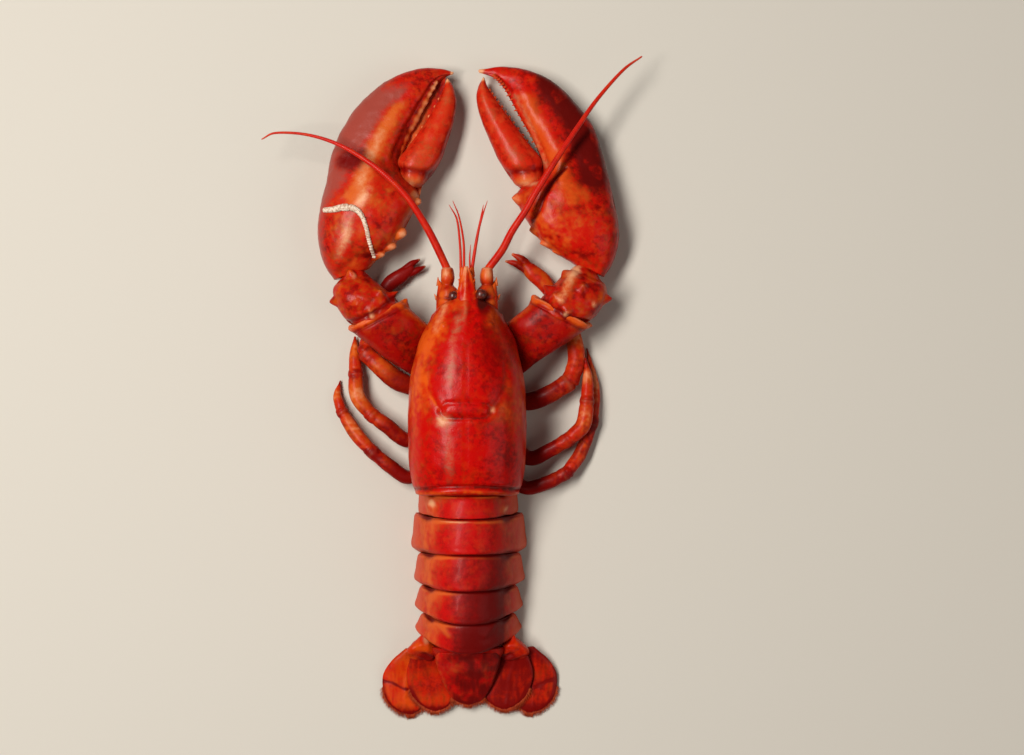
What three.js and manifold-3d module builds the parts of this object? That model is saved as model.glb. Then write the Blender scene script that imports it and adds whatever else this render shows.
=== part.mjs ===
import * as THREE from "three";
import { mergeVertices } from "three/addons/utils/BufferGeometryUtils.js";
import Module from "manifold-3d";

const wasm = await Module();
wasm.setup();

// A cooked lobster that lies on its belly, in millimetres: +X to its right, +Y to its head, +Z up.
// The origin is on the surface it lies on, under the flat keel of the breastplate.

// Driving dimensions of the body
const CARAPACE_HALF_WIDTH = 27.3;
const CARAPACE_HEIGHT = 49;
const ROSTRUM_TIP = 61;
const TAIL_HALF_WIDTH = 27.3;
const TAIL_HEIGHT = 38.5;
const TELSON_TIP = -145;
const KEEL_HALF_WIDTH = 4;
const KEEL_HEIGHT = 8.4;

// Driving dimensions of the limbs
const CRUSHER_HEIGHT = 28;
const CUTTER_HEIGHT = 25;
const ARM_HEIGHT = 29;
const ANTENNA_ROOT_WIDTH = 3.5;
const EYE_RADIUS = 2.3;

// Air left between two pieces that meet, and the sides of the lofted sections
const GAP = 0.45;
const BODY_SIDES = 26;
const CLAW_SIDES = 18;
const FINGER_SIDES = 12;
const ARM_SIDES = 14;
const LEG_SIDES = 8;
const LEAF_SIDES = 10;

// Colours of the boiled shell
const paint = (color, roughness) => new THREE.MeshStandardMaterial({ color, roughness, metalness: 0 });
const SHELL_RED = paint(0xb51507, 0.35);
const CLAW_RED = paint(0xc22a10, 0.38);
const LIMB_ORANGE = paint(0xcc4a12, 0.4);
const BELLY_PALE = paint(0xd8895a, 0.5);
const FEELER_RED = paint(0xa01208, 0.4);
const EYE_DARK = paint(0x160806, 0.15);

// Tables are read along a smooth curve through their rows; the first column is the place
function readTable(table, place) {
  const last = table.length - 1;
  let i = 0;
  while (i < last - 1 && place > table[i + 1][0]) i += 1;
  const row = (n) => table[Math.min(Math.max(n, 0), last)];
  const span = row(i + 1)[0] - row(i)[0];
  const f = (place - row(i)[0]) / span;
  const slope = (n, c) => (row(n + 1)[c] - row(n - 1)[c]) / (row(n + 1)[0] - row(n - 1)[0]);
  return row(i).map((value, c) => {
    const step = row(i + 1)[c] - value;
    const curl = (slope(i, c) * (1 - f) - slope(i + 1, c) * f) * span - step * (1 - 2 * f);
    return value + step * f + curl * f * (1 - f);
  });
}

const numbered = (rows) => rows.map((row, i) => [i, ...row]);

// The rows of a table of points, with more rows between them
function refined(rows, steps) {
  const table = numbered(rows);
  const count = (rows.length - 1) * steps;
  return Array.from({ length: count + 1 }, (_, k) => readTable(table, k / steps).slice(1));
}

const power = (value, exponent) => Math.sign(value) * Math.abs(value) ** exponent;

// A ring of points round a centre: wide along one way, high above it and deep below it
function section({ centre, side, up, wide, high, deep, square = 2, sides }) {
  return Array.from({ length: sides }, (_, i) => {
    const angle = (2 * Math.PI * i) / sides;
    const across = power(Math.cos(angle), 2 / square) * wide;
    const rise = power(Math.sin(angle), 2 / square);
    const lifted = rise * (rise > 0 ? high : deep);
    return centre.clone().addScaledVector(side, across).addScaledVector(up, lifted);
  });
}

// The flat end of a loft, cut into triangles in the plane of its ring
function endFaces(ring, offset) {
  const normal = new THREE.Vector3();
  ring.forEach((p, i) => normal.add(p.clone().cross(ring[(i + 1) % ring.length])));
  const side = ring[0].clone().sub(ring[Math.floor(ring.length / 2)]).normalize();
  const up = normal.normalize().clone().cross(side);
  const flat = ring.map((p) => new THREE.Vector2(p.dot(side), p.dot(up)));
  return THREE.ShapeUtils.triangulateShape(flat, []).map((face) => face.map((n) => n + offset));
}

function solidFrom(points, faces) {
  const volume = faces.reduce((sum, [a, b, c]) => (
    sum + points[a].dot(points[b].clone().cross(points[c]))), 0);
  const turned = volume < 0 ? faces.map(([a, b, c]) => [a, c, b]) : faces;
  const vertProperties = new Float32Array(points.flatMap((p) => p.toArray()));
  const triVerts = new Uint32Array(turned.flat());
  return new wasm.Manifold(new wasm.Mesh({ numProp: 3, vertProperties, triVerts }));
}

// One closed solid through a row of rings
function skin(rings) {
  const sides = rings[0].length;
  const faces = [];
  for (let row = 0; row + 1 < rings.length; row += 1) {
    for (let i = 0; i < sides; i += 1) {
      const a = row * sides + i;
      const b = row * sides + ((i + 1) % sides);
      faces.push([a, b, b + sides], [a, b + sides, a + sides]);
    }
  }
  const first = endFaces(rings[0], 0).map(([a, b, c]) => [a, c, b]);
  const last = endFaces(rings.at(-1), (rings.length - 1) * sides);
  return solidFrom(rings.flat(), [...faces, ...first, ...last]);
}

function fromGeometry(geometry) {
  const bare = geometry.clone();
  bare.deleteAttribute("normal");
  bare.deleteAttribute("uv");
  const merged = mergeVertices(bare, 1e-4);
  const place = merged.attributes.position;
  const points = Array.from({ length: place.count }, (_, i) => (
    new THREE.Vector3().fromBufferAttribute(place, i)));
  const index = Array.from(merged.index.array);
  const faces = Array.from({ length: index.length / 3 }, (_, i) => index.slice(3 * i, 3 * i + 3));
  return solidFrom(points, faces.filter(([a, b, c]) => a !== b && b !== c && c !== a));
}

function toGeometry(solid) {
  const mesh = solid.getMesh();
  const geometry = new THREE.BufferGeometry();
  geometry.setAttribute("position", new THREE.BufferAttribute(Float32Array.from(mesh.vertProperties), 3));
  geometry.setIndex(Array.from(mesh.triVerts));
  geometry.computeVertexNormals();
  return geometry;
}

// The same solid with its whole surface moved outwards, to cut the room that a neighbour needs
function grown(solid, amount = GAP) {
  const geometry = toGeometry(solid);
  const { position, normal } = geometry.attributes;
  const index = Array.from(geometry.index.array);
  const points = Array.from({ length: position.count }, (_, i) => {
    const out = new THREE.Vector3().fromBufferAttribute(normal, i);
    return new THREE.Vector3().fromBufferAttribute(position, i).addScaledVector(out, amount);
  });
  const faces = Array.from({ length: index.length / 3 }, (_, i) => index.slice(3 * i, 3 * i + 3));
  return solidFrom(points, faces);
}

const joined = (...solids) => solids.reduce((sum, solid) => sum.add(solid));

function largest(solid) {
  const pieces = solid.decompose();
  return pieces.reduce((best, piece) => (piece.volume() > best.volume() ? piece : best));
}

const clearOf = (solid, ...others) => (
  largest(others.reduce((left, other) => left.subtract(grown(other)), solid)));

// Flattened pieces: each row is the left and right edge seen from above, and the highest and lowest level
const WAIST = 0.44;

function flatPiece(rows, { sides = CLAW_SIDES, steps = 1, square = 2.3 } = {}) {
  const rings = refined(rows, steps).map(([leftX, leftY, rightX, rightY, top, low]) => {
    const left = new THREE.Vector3(leftX, leftY, 0);
    const right = new THREE.Vector3(rightX, rightY, 0);
    const centre = left.clone().add(right).multiplyScalar(0.5);
    centre.z = low + (top - low) * WAIST;
    const side = right.clone().sub(left);
    const wide = side.length() / 2;
    const up = new THREE.Vector3(0, 0, 1);
    return section({
      centre, side: side.normalize(), up, wide, high: top - centre.z, deep: centre.z - low, square, sides,
    });
  });
  return skin(rings);
}

// Round limbs: each row is a point of the middle line, half the width and half the height
function limb(rows, { sides = LEG_SIDES, steps = 2 } = {}) {
  const table = numbered(rows);
  const last = rows.length - 1;
  const middle = (place) => new THREE.Vector3(...readTable(table, place).slice(1, 4));
  const rings = Array.from({ length: last * steps + 1 }, (_, k) => {
    const place = k / steps;
    const ahead = middle(Math.min(place + 0.1, last)).sub(middle(Math.max(place - 0.1, 0))).normalize();
    const side = ahead.clone().cross(new THREE.Vector3(0, 0, 1)).normalize();
    const [, , , , wide, high] = readTable(table, place);
    const up = side.clone().cross(ahead);
    return section({ centre: middle(place), side, up, wide, high, deep: high, sides });
  });
  return skin(rings);
}

// Bumps and spines that stand on a shell
function bump(place, radius, stretch = [1, 1, 1]) {
  const ball = new THREE.SphereGeometry(radius, 6, 4);
  ball.scale(...stretch);
  ball.translate(...place);
  return fromGeometry(ball);
}

function spine(root, tip, radius, sides = 5) {
  const start = new THREE.Vector3(...root);
  const reach = new THREE.Vector3(...tip).sub(start);
  const cone = new THREE.ConeGeometry(radius, reach.length(), sides);
  cone.translate(0, reach.length() / 2, 0);
  const turn = new THREE.Quaternion();
  turn.setFromUnitVectors(new THREE.Vector3(0, 1, 0), reach.normalize());
  cone.applyQuaternion(turn);
  cone.translate(...start.toArray());
  return fromGeometry(cone);
}

// Level of the top of a solid at a place seen from above
function topOf(solid, x, y) {
  const mesh = new THREE.Mesh(toGeometry(solid));
  const start = new THREE.Vector3(x, y, 2 * CARAPACE_HEIGHT);
  const above = new THREE.Raycaster(start, new THREE.Vector3(0, 0, -1));
  return above.intersectObject(mesh)[0].point.z;
}

const mirrorRows = (rows) => rows.map(([a, b, c, d, top, low]) => [-c, d, -a, b, top, low]);
const mirrorLimb = (rows) => rows.map(([x, ...rest]) => [-x, ...rest]);

// Carapace: place along Y, half width and height as shares of the whole, and level of the lower edge
const CARAPACE_SHAPE = [
  [-42.8, 0.86, 0.85, 14],
  [-41.2, 0.9, 0.885, 12],
  [-36, 0.95, 0.92, 10.5],
  [-28, 0.985, 0.96, 9.6],
  [-13, 1, 0.99, 9.2],
  [0, 0.99, 1, 9.2],
  [10, 0.965, 0.985, 9.4],
  [20, 0.885, 0.945, 10],
  [28, 0.81, 0.895, 11],
  [35.5, 0.66, 0.835, 13.5],
  [41, 0.54, 0.785, 17],
  [44.4, 0.42, 0.755, 20.5],
  [46.6, 0.24, 0.73, 25],
];
const CARAPACE_RINGS = [
  -42.8, -41.2, -38, -32, -24, -16, -11, -8.5, -6.5, -4.5, -2.5,
  0, 4, 9, 15, 21, 27, 32, 36, 39.6, 42.4, 44.6, 46.6,
];
const GROOVE_DEPTH = 1.3;
const GROOVE_HALF_WIDTH = 2.2;

// The neck groove crosses the back, then runs forward and down on each side
const GROOVE_PATH = [
  [0, -5], [5.5, -5.2], [11, -5], [15, -1.6], [18.6, 4], [20.6, 10], [21, 17], [20, 24],
];

function grooveDepth(x, y) {
  const nearest = GROOVE_PATH.slice(1).map(([endX, endY], i) => {
    const line = new THREE.Line3(
      new THREE.Vector3(...GROOVE_PATH[i], 0), new THREE.Vector3(endX, endY, 0));
    const place = new THREE.Vector3(Math.abs(x), y, 0);
    return line.closestPointToPoint(place, true, new THREE.Vector3()).distanceTo(place);
  });
  return GROOVE_DEPTH * Math.exp(-((Math.min(...nearest) / GROOVE_HALF_WIDTH) ** 2));
}

function makeCarapace() {
  const rings = CARAPACE_RINGS.map((place) => {
    const [y, width, height, low] = readTable(CARAPACE_SHAPE, place);
    const top = height * CARAPACE_HEIGHT;
    const waist = low + (top - low) * 0.36;
    const ring = section({
      centre: new THREE.Vector3(0, y, waist),
      side: new THREE.Vector3(1, 0, 0),
      up: new THREE.Vector3(0, 0, 1),
      wide: width * CARAPACE_HALF_WIDTH,
      high: top - waist,
      deep: waist - low,
      square: 2.25,
      sides: BODY_SIDES,
    });
    return ring.map((p) => {
      const inward = new THREE.Vector3(-p.x, 0, waist - p.z).normalize();
      return p.z > waist ? p.addScaledVector(inward, grooveDepth(p.x, p.y)) : p;
    });
  });
  const rostrum = flatPiece([
    [-8, 27, 8, 27, 42, 32],
    [-5.6, 36, 5.6, 36, 40.4, 31],
    [-4.1, 45, 4.1, 45, 37.6, 30.6],
    [-3.3, 52, 3.3, 52, 36.2, 31.2],
    [-1.9, 58, 1.9, 58, 35.6, 32.4],
    [-0.3, ROSTRUM_TIP, 0.3, ROSTRUM_TIP, 34.9, 34.3],
  ], { sides: 10 });
  const spines = [-1, 1].flatMap((side) => [
    ...[[3.4, 49, 36], [2.8, 54, 35.4], [3.8, 44.4, 36.6]].map(([x, y, z]) => (
      spine([side * (x - 1.2), y - 1.8, z - 1], [side * (x + 1.1), y + 2.6, z + 0.8], 1.1))),
    spine([side * 14, 35.5, 25], [side * 14.9, 41.6, 26], 2),
    spine([side * 10.4, 33, 39], [side * 10.8, 38.4, 39.2], 1.4),
  ]);
  return joined(skin(rings), rostrum, ...spines);
}

// Tail rings: front and rear of the top edge and of the side plates, the top at the front and rear as
// shares of the tail's height, the half width at the front, widest and rear place as shares of its half
// width, the level of the side plates' lower edge, and how far the ring lies to the right.
// The rings lean back more and more, because the tail droops towards the fan.
const TAIL_RINGS = [
  { back: [-43.1, -53.6], sides: [-43.1, -52.6], top: [0.96, 0.99],
    wide: [0.84, 0.865, 0.855], low: 3.2, aside: 0 },
  { back: [-53.9, -69.8], sides: [-52.9, -72], top: [0.97, 0.97],
    wide: [0.93, 0.995, 0.87], low: 0, aside: 0.3 },
  { back: [-70.1, -86.8], sides: [-72.3, -87], top: [0.92, 0.91],
    wide: [0.87, 0.955, 0.83], low: 0, aside: 0.5 },
  { back: [-87.1, -102.3], sides: [-87.3, -99.4], top: [0.86, 0.83],
    wide: [0.82, 0.93, 0.785], low: 0, aside: 0.2 },
  { back: [-102.6, -116.4], sides: [-100, -109.6], top: [0.79, 0.69],
    wide: [0.78, 0.915, 0.75], low: 0, aside: 0 },
];
const BELLY_LEVEL = 7.4;
const PLEURA_THICKNESS = 2.2;
const BELL = 0.09;
const ARCH_STEPS = 14;

// A ring's section is an arch with flared side plates, closed by the flat belly between them
function tailSection(yBack, ySide, wide, top, low) {
  const lean = (z) => ySide + ((yBack - ySide) * (z - low)) / (top - low);
  const arch = Array.from({ length: ARCH_STEPS + 1 }, (_, i) => {
    const angle = (Math.PI * i) / ARCH_STEPS;
    const x = wide * Math.cos(angle) * (1 - BELL * Math.abs(Math.sin(2 * angle)));
    return [x, low + (top - low) * Math.sin(angle)];
  });
  const belly = [-1, 1].flatMap((side) => {
    const inner = [side * (wide - PLEURA_THICKNESS), low + 0.02];
    const root = [side * (wide - 2.6 * PLEURA_THICKNESS), BELLY_LEVEL];
    return side < 0 ? [inner, root] : [root, inner];
  });
  return [...arch, ...belly].map(([x, z]) => new THREE.Vector3(x, lean(z), z));
}

function makeTailRing({ back, sides, top, wide, low, aside }) {
  const rows = [
    [0, wide[0], -0.9],
    [0.14, wide[0] + 0.35 * (wide[1] - wide[0]), 0],
    [0.5, wide[0] + 0.75 * (wide[1] - wide[0]), 0.5],
    [0.86, wide[1], 0.4],
    [1, wide[2], 0.2],
  ];
  const rings = rows.map(([along, width, rise]) => tailSection(
    THREE.MathUtils.lerp(back[0], back[1], along),
    THREE.MathUtils.lerp(sides[0], sides[1], along),
    width * TAIL_HALF_WIDTH,
    THREE.MathUtils.lerp(top[0], top[1], along) * TAIL_HEIGHT + rise,
    low,
  ).map((point) => point.add(new THREE.Vector3(aside, 0, 0))));
  return skin(rings);
}

// Swimmerets: a pair of small paddles that hang from the belly of rings 2 to 5
function swimmerets({ sides, wide }) {
  const root = (sides[0] + sides[1]) / 2;
  return [-1, 1].map((side) => limb([
    [side * wide[0] * 13, root + 1, BELLY_LEVEL + 1, 2, 1.2],
    [side * wide[0] * 13.5, root - 5, BELLY_LEVEL - 3, 3.2, 0.8],
    [side * wide[0] * 13, root - 10.5, BELLY_LEVEL - 4.6, 1.4, 0.6],
  ], { sides: 6, steps: 1 }));
}

const makeLastRing = () => flatPiece([
  [-16.6, -116.6, 16.6, -116.6, 23, 4],
  [-16.2, -119.4, 16.2, -119.4, 21.8, 4],
  [-15.2, -122.6, 15.2, -122.6, 19, 4],
], { sides: 18, square: 2.4 });

const makeTelson = () => flatPiece([
  [-14.8, -119.6, 14.8, -119.6, 17.2, 6],
  [-15.2, -123.4, 15.2, -123.4, 16.6, 6],
  [-13.2, -129, 13.2, -129, 12.8, 5.4],
  [-10.6, -134.4, 10.6, -134.4, 9.8, 4.8],
  [-7.8, -139.6, 7.8, -139.6, 7.2, 4.4],
  [-6, -142.2, 6, -142.2, 6, 4.2],
  [-2, TELSON_TIP, 2, TELSON_TIP, 5, 4.2],
], { sides: 14, steps: 1, square: 2.6 });

// Tail fan, left half: the base, and the inner and outer blades that lie under the telson
const FAN_BASE = [
  [-22.6, -110.8, -19.4, -110.8, 12, 6],
  [-26.4, -114.6, -17, -114.6, 15, 4.6],
  [-29, -118.4, -15.8, -118.4, 13.6, 4],
  [-27.4, -121.6, -16.8, -121.6, 10.4, 4.2],
];
const FAN_INNER = [
  [-26.6, -120, -16, -119.6, 9.4, 6.6],
  [-29, -128, -11.4, -127, 7.2, 4.8],
  [-28.8, -135.4, -7, -134.6, 6, 3.8],
  [-26.2, -142.2, -5.2, -142, 5.2, 3.2],
  [-21.2, -146.8, -9.6, -146.6, 4.8, 3],
  [-17.8, -148.4, -13.4, -148.4, 4.2, 3],
];
const FAN_OUTER = [
  [-30.6, -117.6, -25, -119.4, 6.4, 3.6],
  [-36.6, -123.4, -24.6, -124, 4.6, 1.8],
  [-40.6, -130.4, -23.4, -130.4, 2.9, 0.6],
  [-41.4, -138.8, -21.6, -137.8, 2.6, 0],
  [-39.4, -144.6, -20.4, -143.6, 2.6, 0],
  [-34.6, -149.2, -21.4, -147.2, 2.4, 0.1],
  [-30, -150.6, -25.4, -150.2, 2, 0.4],
];
const FAN_RIGHT_SHIFT = [1.4, 0.9];

// Claws: outer and inner edge seen from above, and the levels as shares of the claw's height
const CRUSHER = [
  [-62.5, 56.4, -45.6, 62, 0.66, 0.22],
  [-66.9, 63, -40.9, 67.7, 0.82, 0.1],
  [-69.8, 72.9, -34, 72.9, 0.96, 0],
  [-69.8, 83.7, -28.6, 82.7, 1, 0],
  [-68.2, 93.1, -23, 92.6, 1, 0],
  [-66.3, 101.5, -24.4, 99.4, 0.94, 0.02],
  [-64.9, 109, -31.4, 106.7, 0.87, 0.04],
  [-63, 117.5, -31.4, 114.7, 0.8, 0.06],
  [-57.8, 128.8, -26.8, 125.5, 0.72, 0.08],
  [-49.8, 140, -20.7, 136.8, 0.64, 0.1],
  [-38.5, 149.5, -15, 147.1, 0.56, 0.13],
  [-24.9, 155.1, -11.8, 150.9, 0.48, 0.17],
  [-13.2, 155.8, -10.1, 151.9, 0.4, 0.22],
  [-7.3, 154.2, -8, 152.8, 0.33, 0.28],
];
const CRUSHER_FINGER = [
  [-29.4, 101.6, -22.3, 99.8, 0.62, 0.16],
  [-32.4, 106.7, -18, 104.3, 0.72, 0.1],
  [-32.8, 112.8, -12.7, 112.3, 0.72, 0.1],
  [-28.9, 118, -9.4, 121.7, 0.66, 0.1],
  [-22.3, 126.9, -6.6, 131.1, 0.58, 0.12],
  [-16.2, 136.8, -5.4, 139.6, 0.5, 0.16],
  [-12.7, 143.8, -6.6, 146.2, 0.42, 0.2],
  [-10.6, 149.4, -8.6, 149.8, 0.34, 0.26],
];
const CUTTER = [
  [48.4, 64.4, 63.9, 57.8, 0.7, 0.24],
  [41.4, 68.6, 68.2, 64.9, 0.84, 0.1],
  [34.3, 74.3, 70.8, 75.2, 0.97, 0],
  [27.9, 83.7, 70.2, 84.6, 1, 0],
  [23.2, 92.6, 68.2, 93.5, 0.98, 0],
  [24.2, 98.7, 66.5, 101.5, 0.93, 0.02],
  [34.6, 105.3, 64.9, 109, 0.85, 0.04],
  [34, 113.7, 63, 116.1, 0.79, 0.06],
  [29.4, 124.1, 59.2, 127.4, 0.71, 0.08],
  [23.2, 134.9, 51.7, 138.2, 0.63, 0.1],
  [18, 144.8, 41.4, 148.5, 0.55, 0.13],
  [13.6, 150.4, 29.6, 154.6, 0.48, 0.17],
  [10.1, 152.6, 16.5, 156.8, 0.4, 0.22],
  [6, 153.8, 5.6, 155.4, 0.33, 0.28],
];
const CUTTER_FINGER = [
  [24.2, 99.8, 33.6, 101.4, 0.64, 0.16],
  [19.3, 104.8, 35.6, 107.2, 0.72, 0.1],
  [14.1, 113.3, 34.6, 113.9, 0.72, 0.1],
  [9.9, 122.7, 28.9, 120.8, 0.66, 0.1],
  [6.1, 131.6, 21.2, 131.1, 0.58, 0.12],
  [4, 140.5, 14.6, 140, 0.5, 0.16],
  [4.7, 147.1, 9.9, 146.6, 0.42, 0.2],
  [6.4, 150.6, 8.2, 150.6, 0.34, 0.26],
];

const atHeight = (rows, height) => (
  rows.map(([a, b, c, d, top, low]) => [a, b, c, d, top * height, low * height]));

// Blunt tubercles of the crusher and sharp teeth of the cutter, along the fixed finger's biting edge
const CRUSHER_TEETH = [[-25.6, 126.4, 1.7], [-23.2, 131.4, 1.6], [-20.8, 135.8, 1.8], [-18, 141.4, 1.4]];
const CUTTER_TEETH = { from: [28.6, 124.6], to: [13.2, 150.2], count: 8, reach: 1.7, bow: 1.2 };

// Bumps along the inner edge of each palm
const CRUSHER_KNOBS = [
  [-23.6, 92.8, 2.2], [-25.2, 96.2, 1.8], [-30.8, 77.8, 1.9], [-35.8, 72, 1.9], [-40.2, 67.4, 1.8],
];
const CUTTER_KNOBS = [[22.8, 95, 1.9], [30.2, 79.2, 1.7], [35.8, 73.4, 1.7], [40.8, 68.6, 1.7]];
const KNOB_LEVEL = 12;
const TOOTH_LEVEL = 9.6;

// The chalky tube of a sea worm, grown on the back of the crusher claw
const TUBE_LIFT = 0.25;
const WORM_TUBE = [
  [-64.1, 88.2, 0.9], [-60.7, 88, 1.1], [-56.8, 88.8, 1.6],
  [-51.9, 88.2, 1.4], [-48.6, 85.3, 1.1], [-46.5, 80, 1],
  [-45.3, 74.4, 0.9], [-43.3, 66.3, 0.8],
];

function makeCrusher() {
  const palm = flatPiece(atHeight(CRUSHER, CRUSHER_HEIGHT));
  const teeth = CRUSHER_TEETH.map(([x, y, r]) => bump([x, y, TOOTH_LEVEL], r));
  const knobs = CRUSHER_KNOBS.map(([x, y, r]) => bump([x, y, KNOB_LEVEL], r, [1.2, 1.2, 1]));
  const tubeRows = WORM_TUBE.map(([x, y, r]) => [x, y, topOf(palm, x, y) + TUBE_LIFT, r, r]);
  const tube = limb(tubeRows, { sides: 5, steps: 1 });
  return joined(palm, ...teeth, ...knobs, tube);
}

function makeCutter() {
  const palm = flatPiece(atHeight(CUTTER, CUTTER_HEIGHT));
  const { from, to, count, reach, bow } = CUTTER_TEETH;
  const along = new THREE.Vector2(to[0] - from[0], to[1] - from[1]);
  const inward = new THREE.Vector2(-along.y, along.x).normalize().negate();
  const teeth = Array.from({ length: count }, (_, i) => {
    const share = i / (count - 1);
    const bend = bow * Math.sin(Math.PI * share);
    const root = new THREE.Vector2(...from).addScaledVector(along, share).addScaledVector(inward, bend);
    const tip = root.clone().addScaledVector(inward, -reach);
    return spine([root.x, root.y, TOOTH_LEVEL], [tip.x, tip.y, TOOTH_LEVEL], 1.1, 5);
  });
  const knobs = CUTTER_KNOBS.map(([x, y, r]) => (
    spine([x + 1.6, y, KNOB_LEVEL], [x - 1.4, y + 0.6, KNOB_LEVEL], r)));
  return joined(palm, ...teeth, ...knobs);
}

// Arms: wrist, upper arm and base; edges seen from above, and the levels as shares of the arm's height
const LEFT_WRIST = [
  [-57.4, 58.6, -49.4, 61.8, 0.66, 0.36],
  [-62.2, 52.8, -42.6, 55.2, 0.88, 0.3],
  [-61.4, 46.4, -33.6, 47.9, 1, 0.29],
  [-58.1, 39.2, -31, 42.6, 0.98, 0.3],
  [-53, 34.4, -32.6, 37.4, 0.92, 0.34],
  [-47.4, 32.4, -37.2, 33.8, 0.82, 0.42],
];
const LEFT_UPPER_ARM = [
  [-54.5, 32.9, -30.1, 46, 0.93, 0.36],
  [-49.8, 28.7, -25.9, 41.8, 0.93, 0.34],
  [-39, 20.2, -20.7, 37.1, 0.84, 0.33],
  [-31, 14.6, -16.9, 34.3, 0.7, 0.32],
  [-25, 10.4, -14.4, 31.4, 0.5, 0.3],
];
const RIGHT_WRIST = [
  [51.4, 62.6, 60.2, 59.2, 0.66, 0.36],
  [44, 57.8, 64.2, 52.8, 0.88, 0.3],
  [34.5, 47.9, 64.2, 46.6, 1, 0.29],
  [32.2, 42.6, 60.4, 40.4, 0.98, 0.3],
  [34.8, 36.8, 55.2, 35.8, 0.92, 0.34],
  [39.4, 33.6, 49.4, 32.9, 0.82, 0.42],
];
const RIGHT_UPPER_ARM = [
  [31, 47.6, 56.9, 34.3, 0.93, 0.36],
  [27.7, 43.7, 51.2, 30.1, 0.93, 0.34],
  [22.1, 39, 40.4, 23, 0.84, 0.33],
  [17.9, 35.7, 32, 17.4, 0.7, 0.32],
  [15, 32.6, 26, 12.6, 0.5, 0.3],
];
const ARM_BASE = [[-8, 16, 4.6, 3.6, 3.6], [-15, 20, 4.8, 4.6, 4], [-22, 24, 4.8, 4.6, 4]];
const LEFT_WRIST_SPINES = [
  [[-60, 46.2, 20], [-65.3, 45.8, 19]], [[-54, 57, 20], [-54.6, 61.4, 22]],
  [[-44, 41, 26], [-44, 40.4, 31]], [[-34, 49, 22], [-30.4, 51.4, 22]],
];
const RIGHT_WRIST_SPINES = [
  [[63, 46.8, 20], [68.3, 47.6, 19]], [[46.4, 57.6, 20], [43.6, 61, 21]],
  [[46, 41, 26], [46, 40.4, 31]], [[38, 51.6, 22], [34.6, 53.8, 22]],
];
const LEFT_ARM_SPINES = [[[-52.4, 33, 16], [-56.4, 34.4, 16]], [[-29, 44, 18], [-28.6, 48.4, 18]]];
const RIGHT_ARM_SPINES = [[[54.8, 34, 16], [58.6, 35.4, 16]], [[31, 46, 18], [30.6, 50.4, 18]]];

function armPiece(rows, spines) {
  const shell = flatPiece(atHeight(rows, ARM_HEIGHT), { sides: ARM_SIDES });
  return joined(shell, ...spines.map(([root, tip]) => spine(root, tip, 2)));
}

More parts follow.
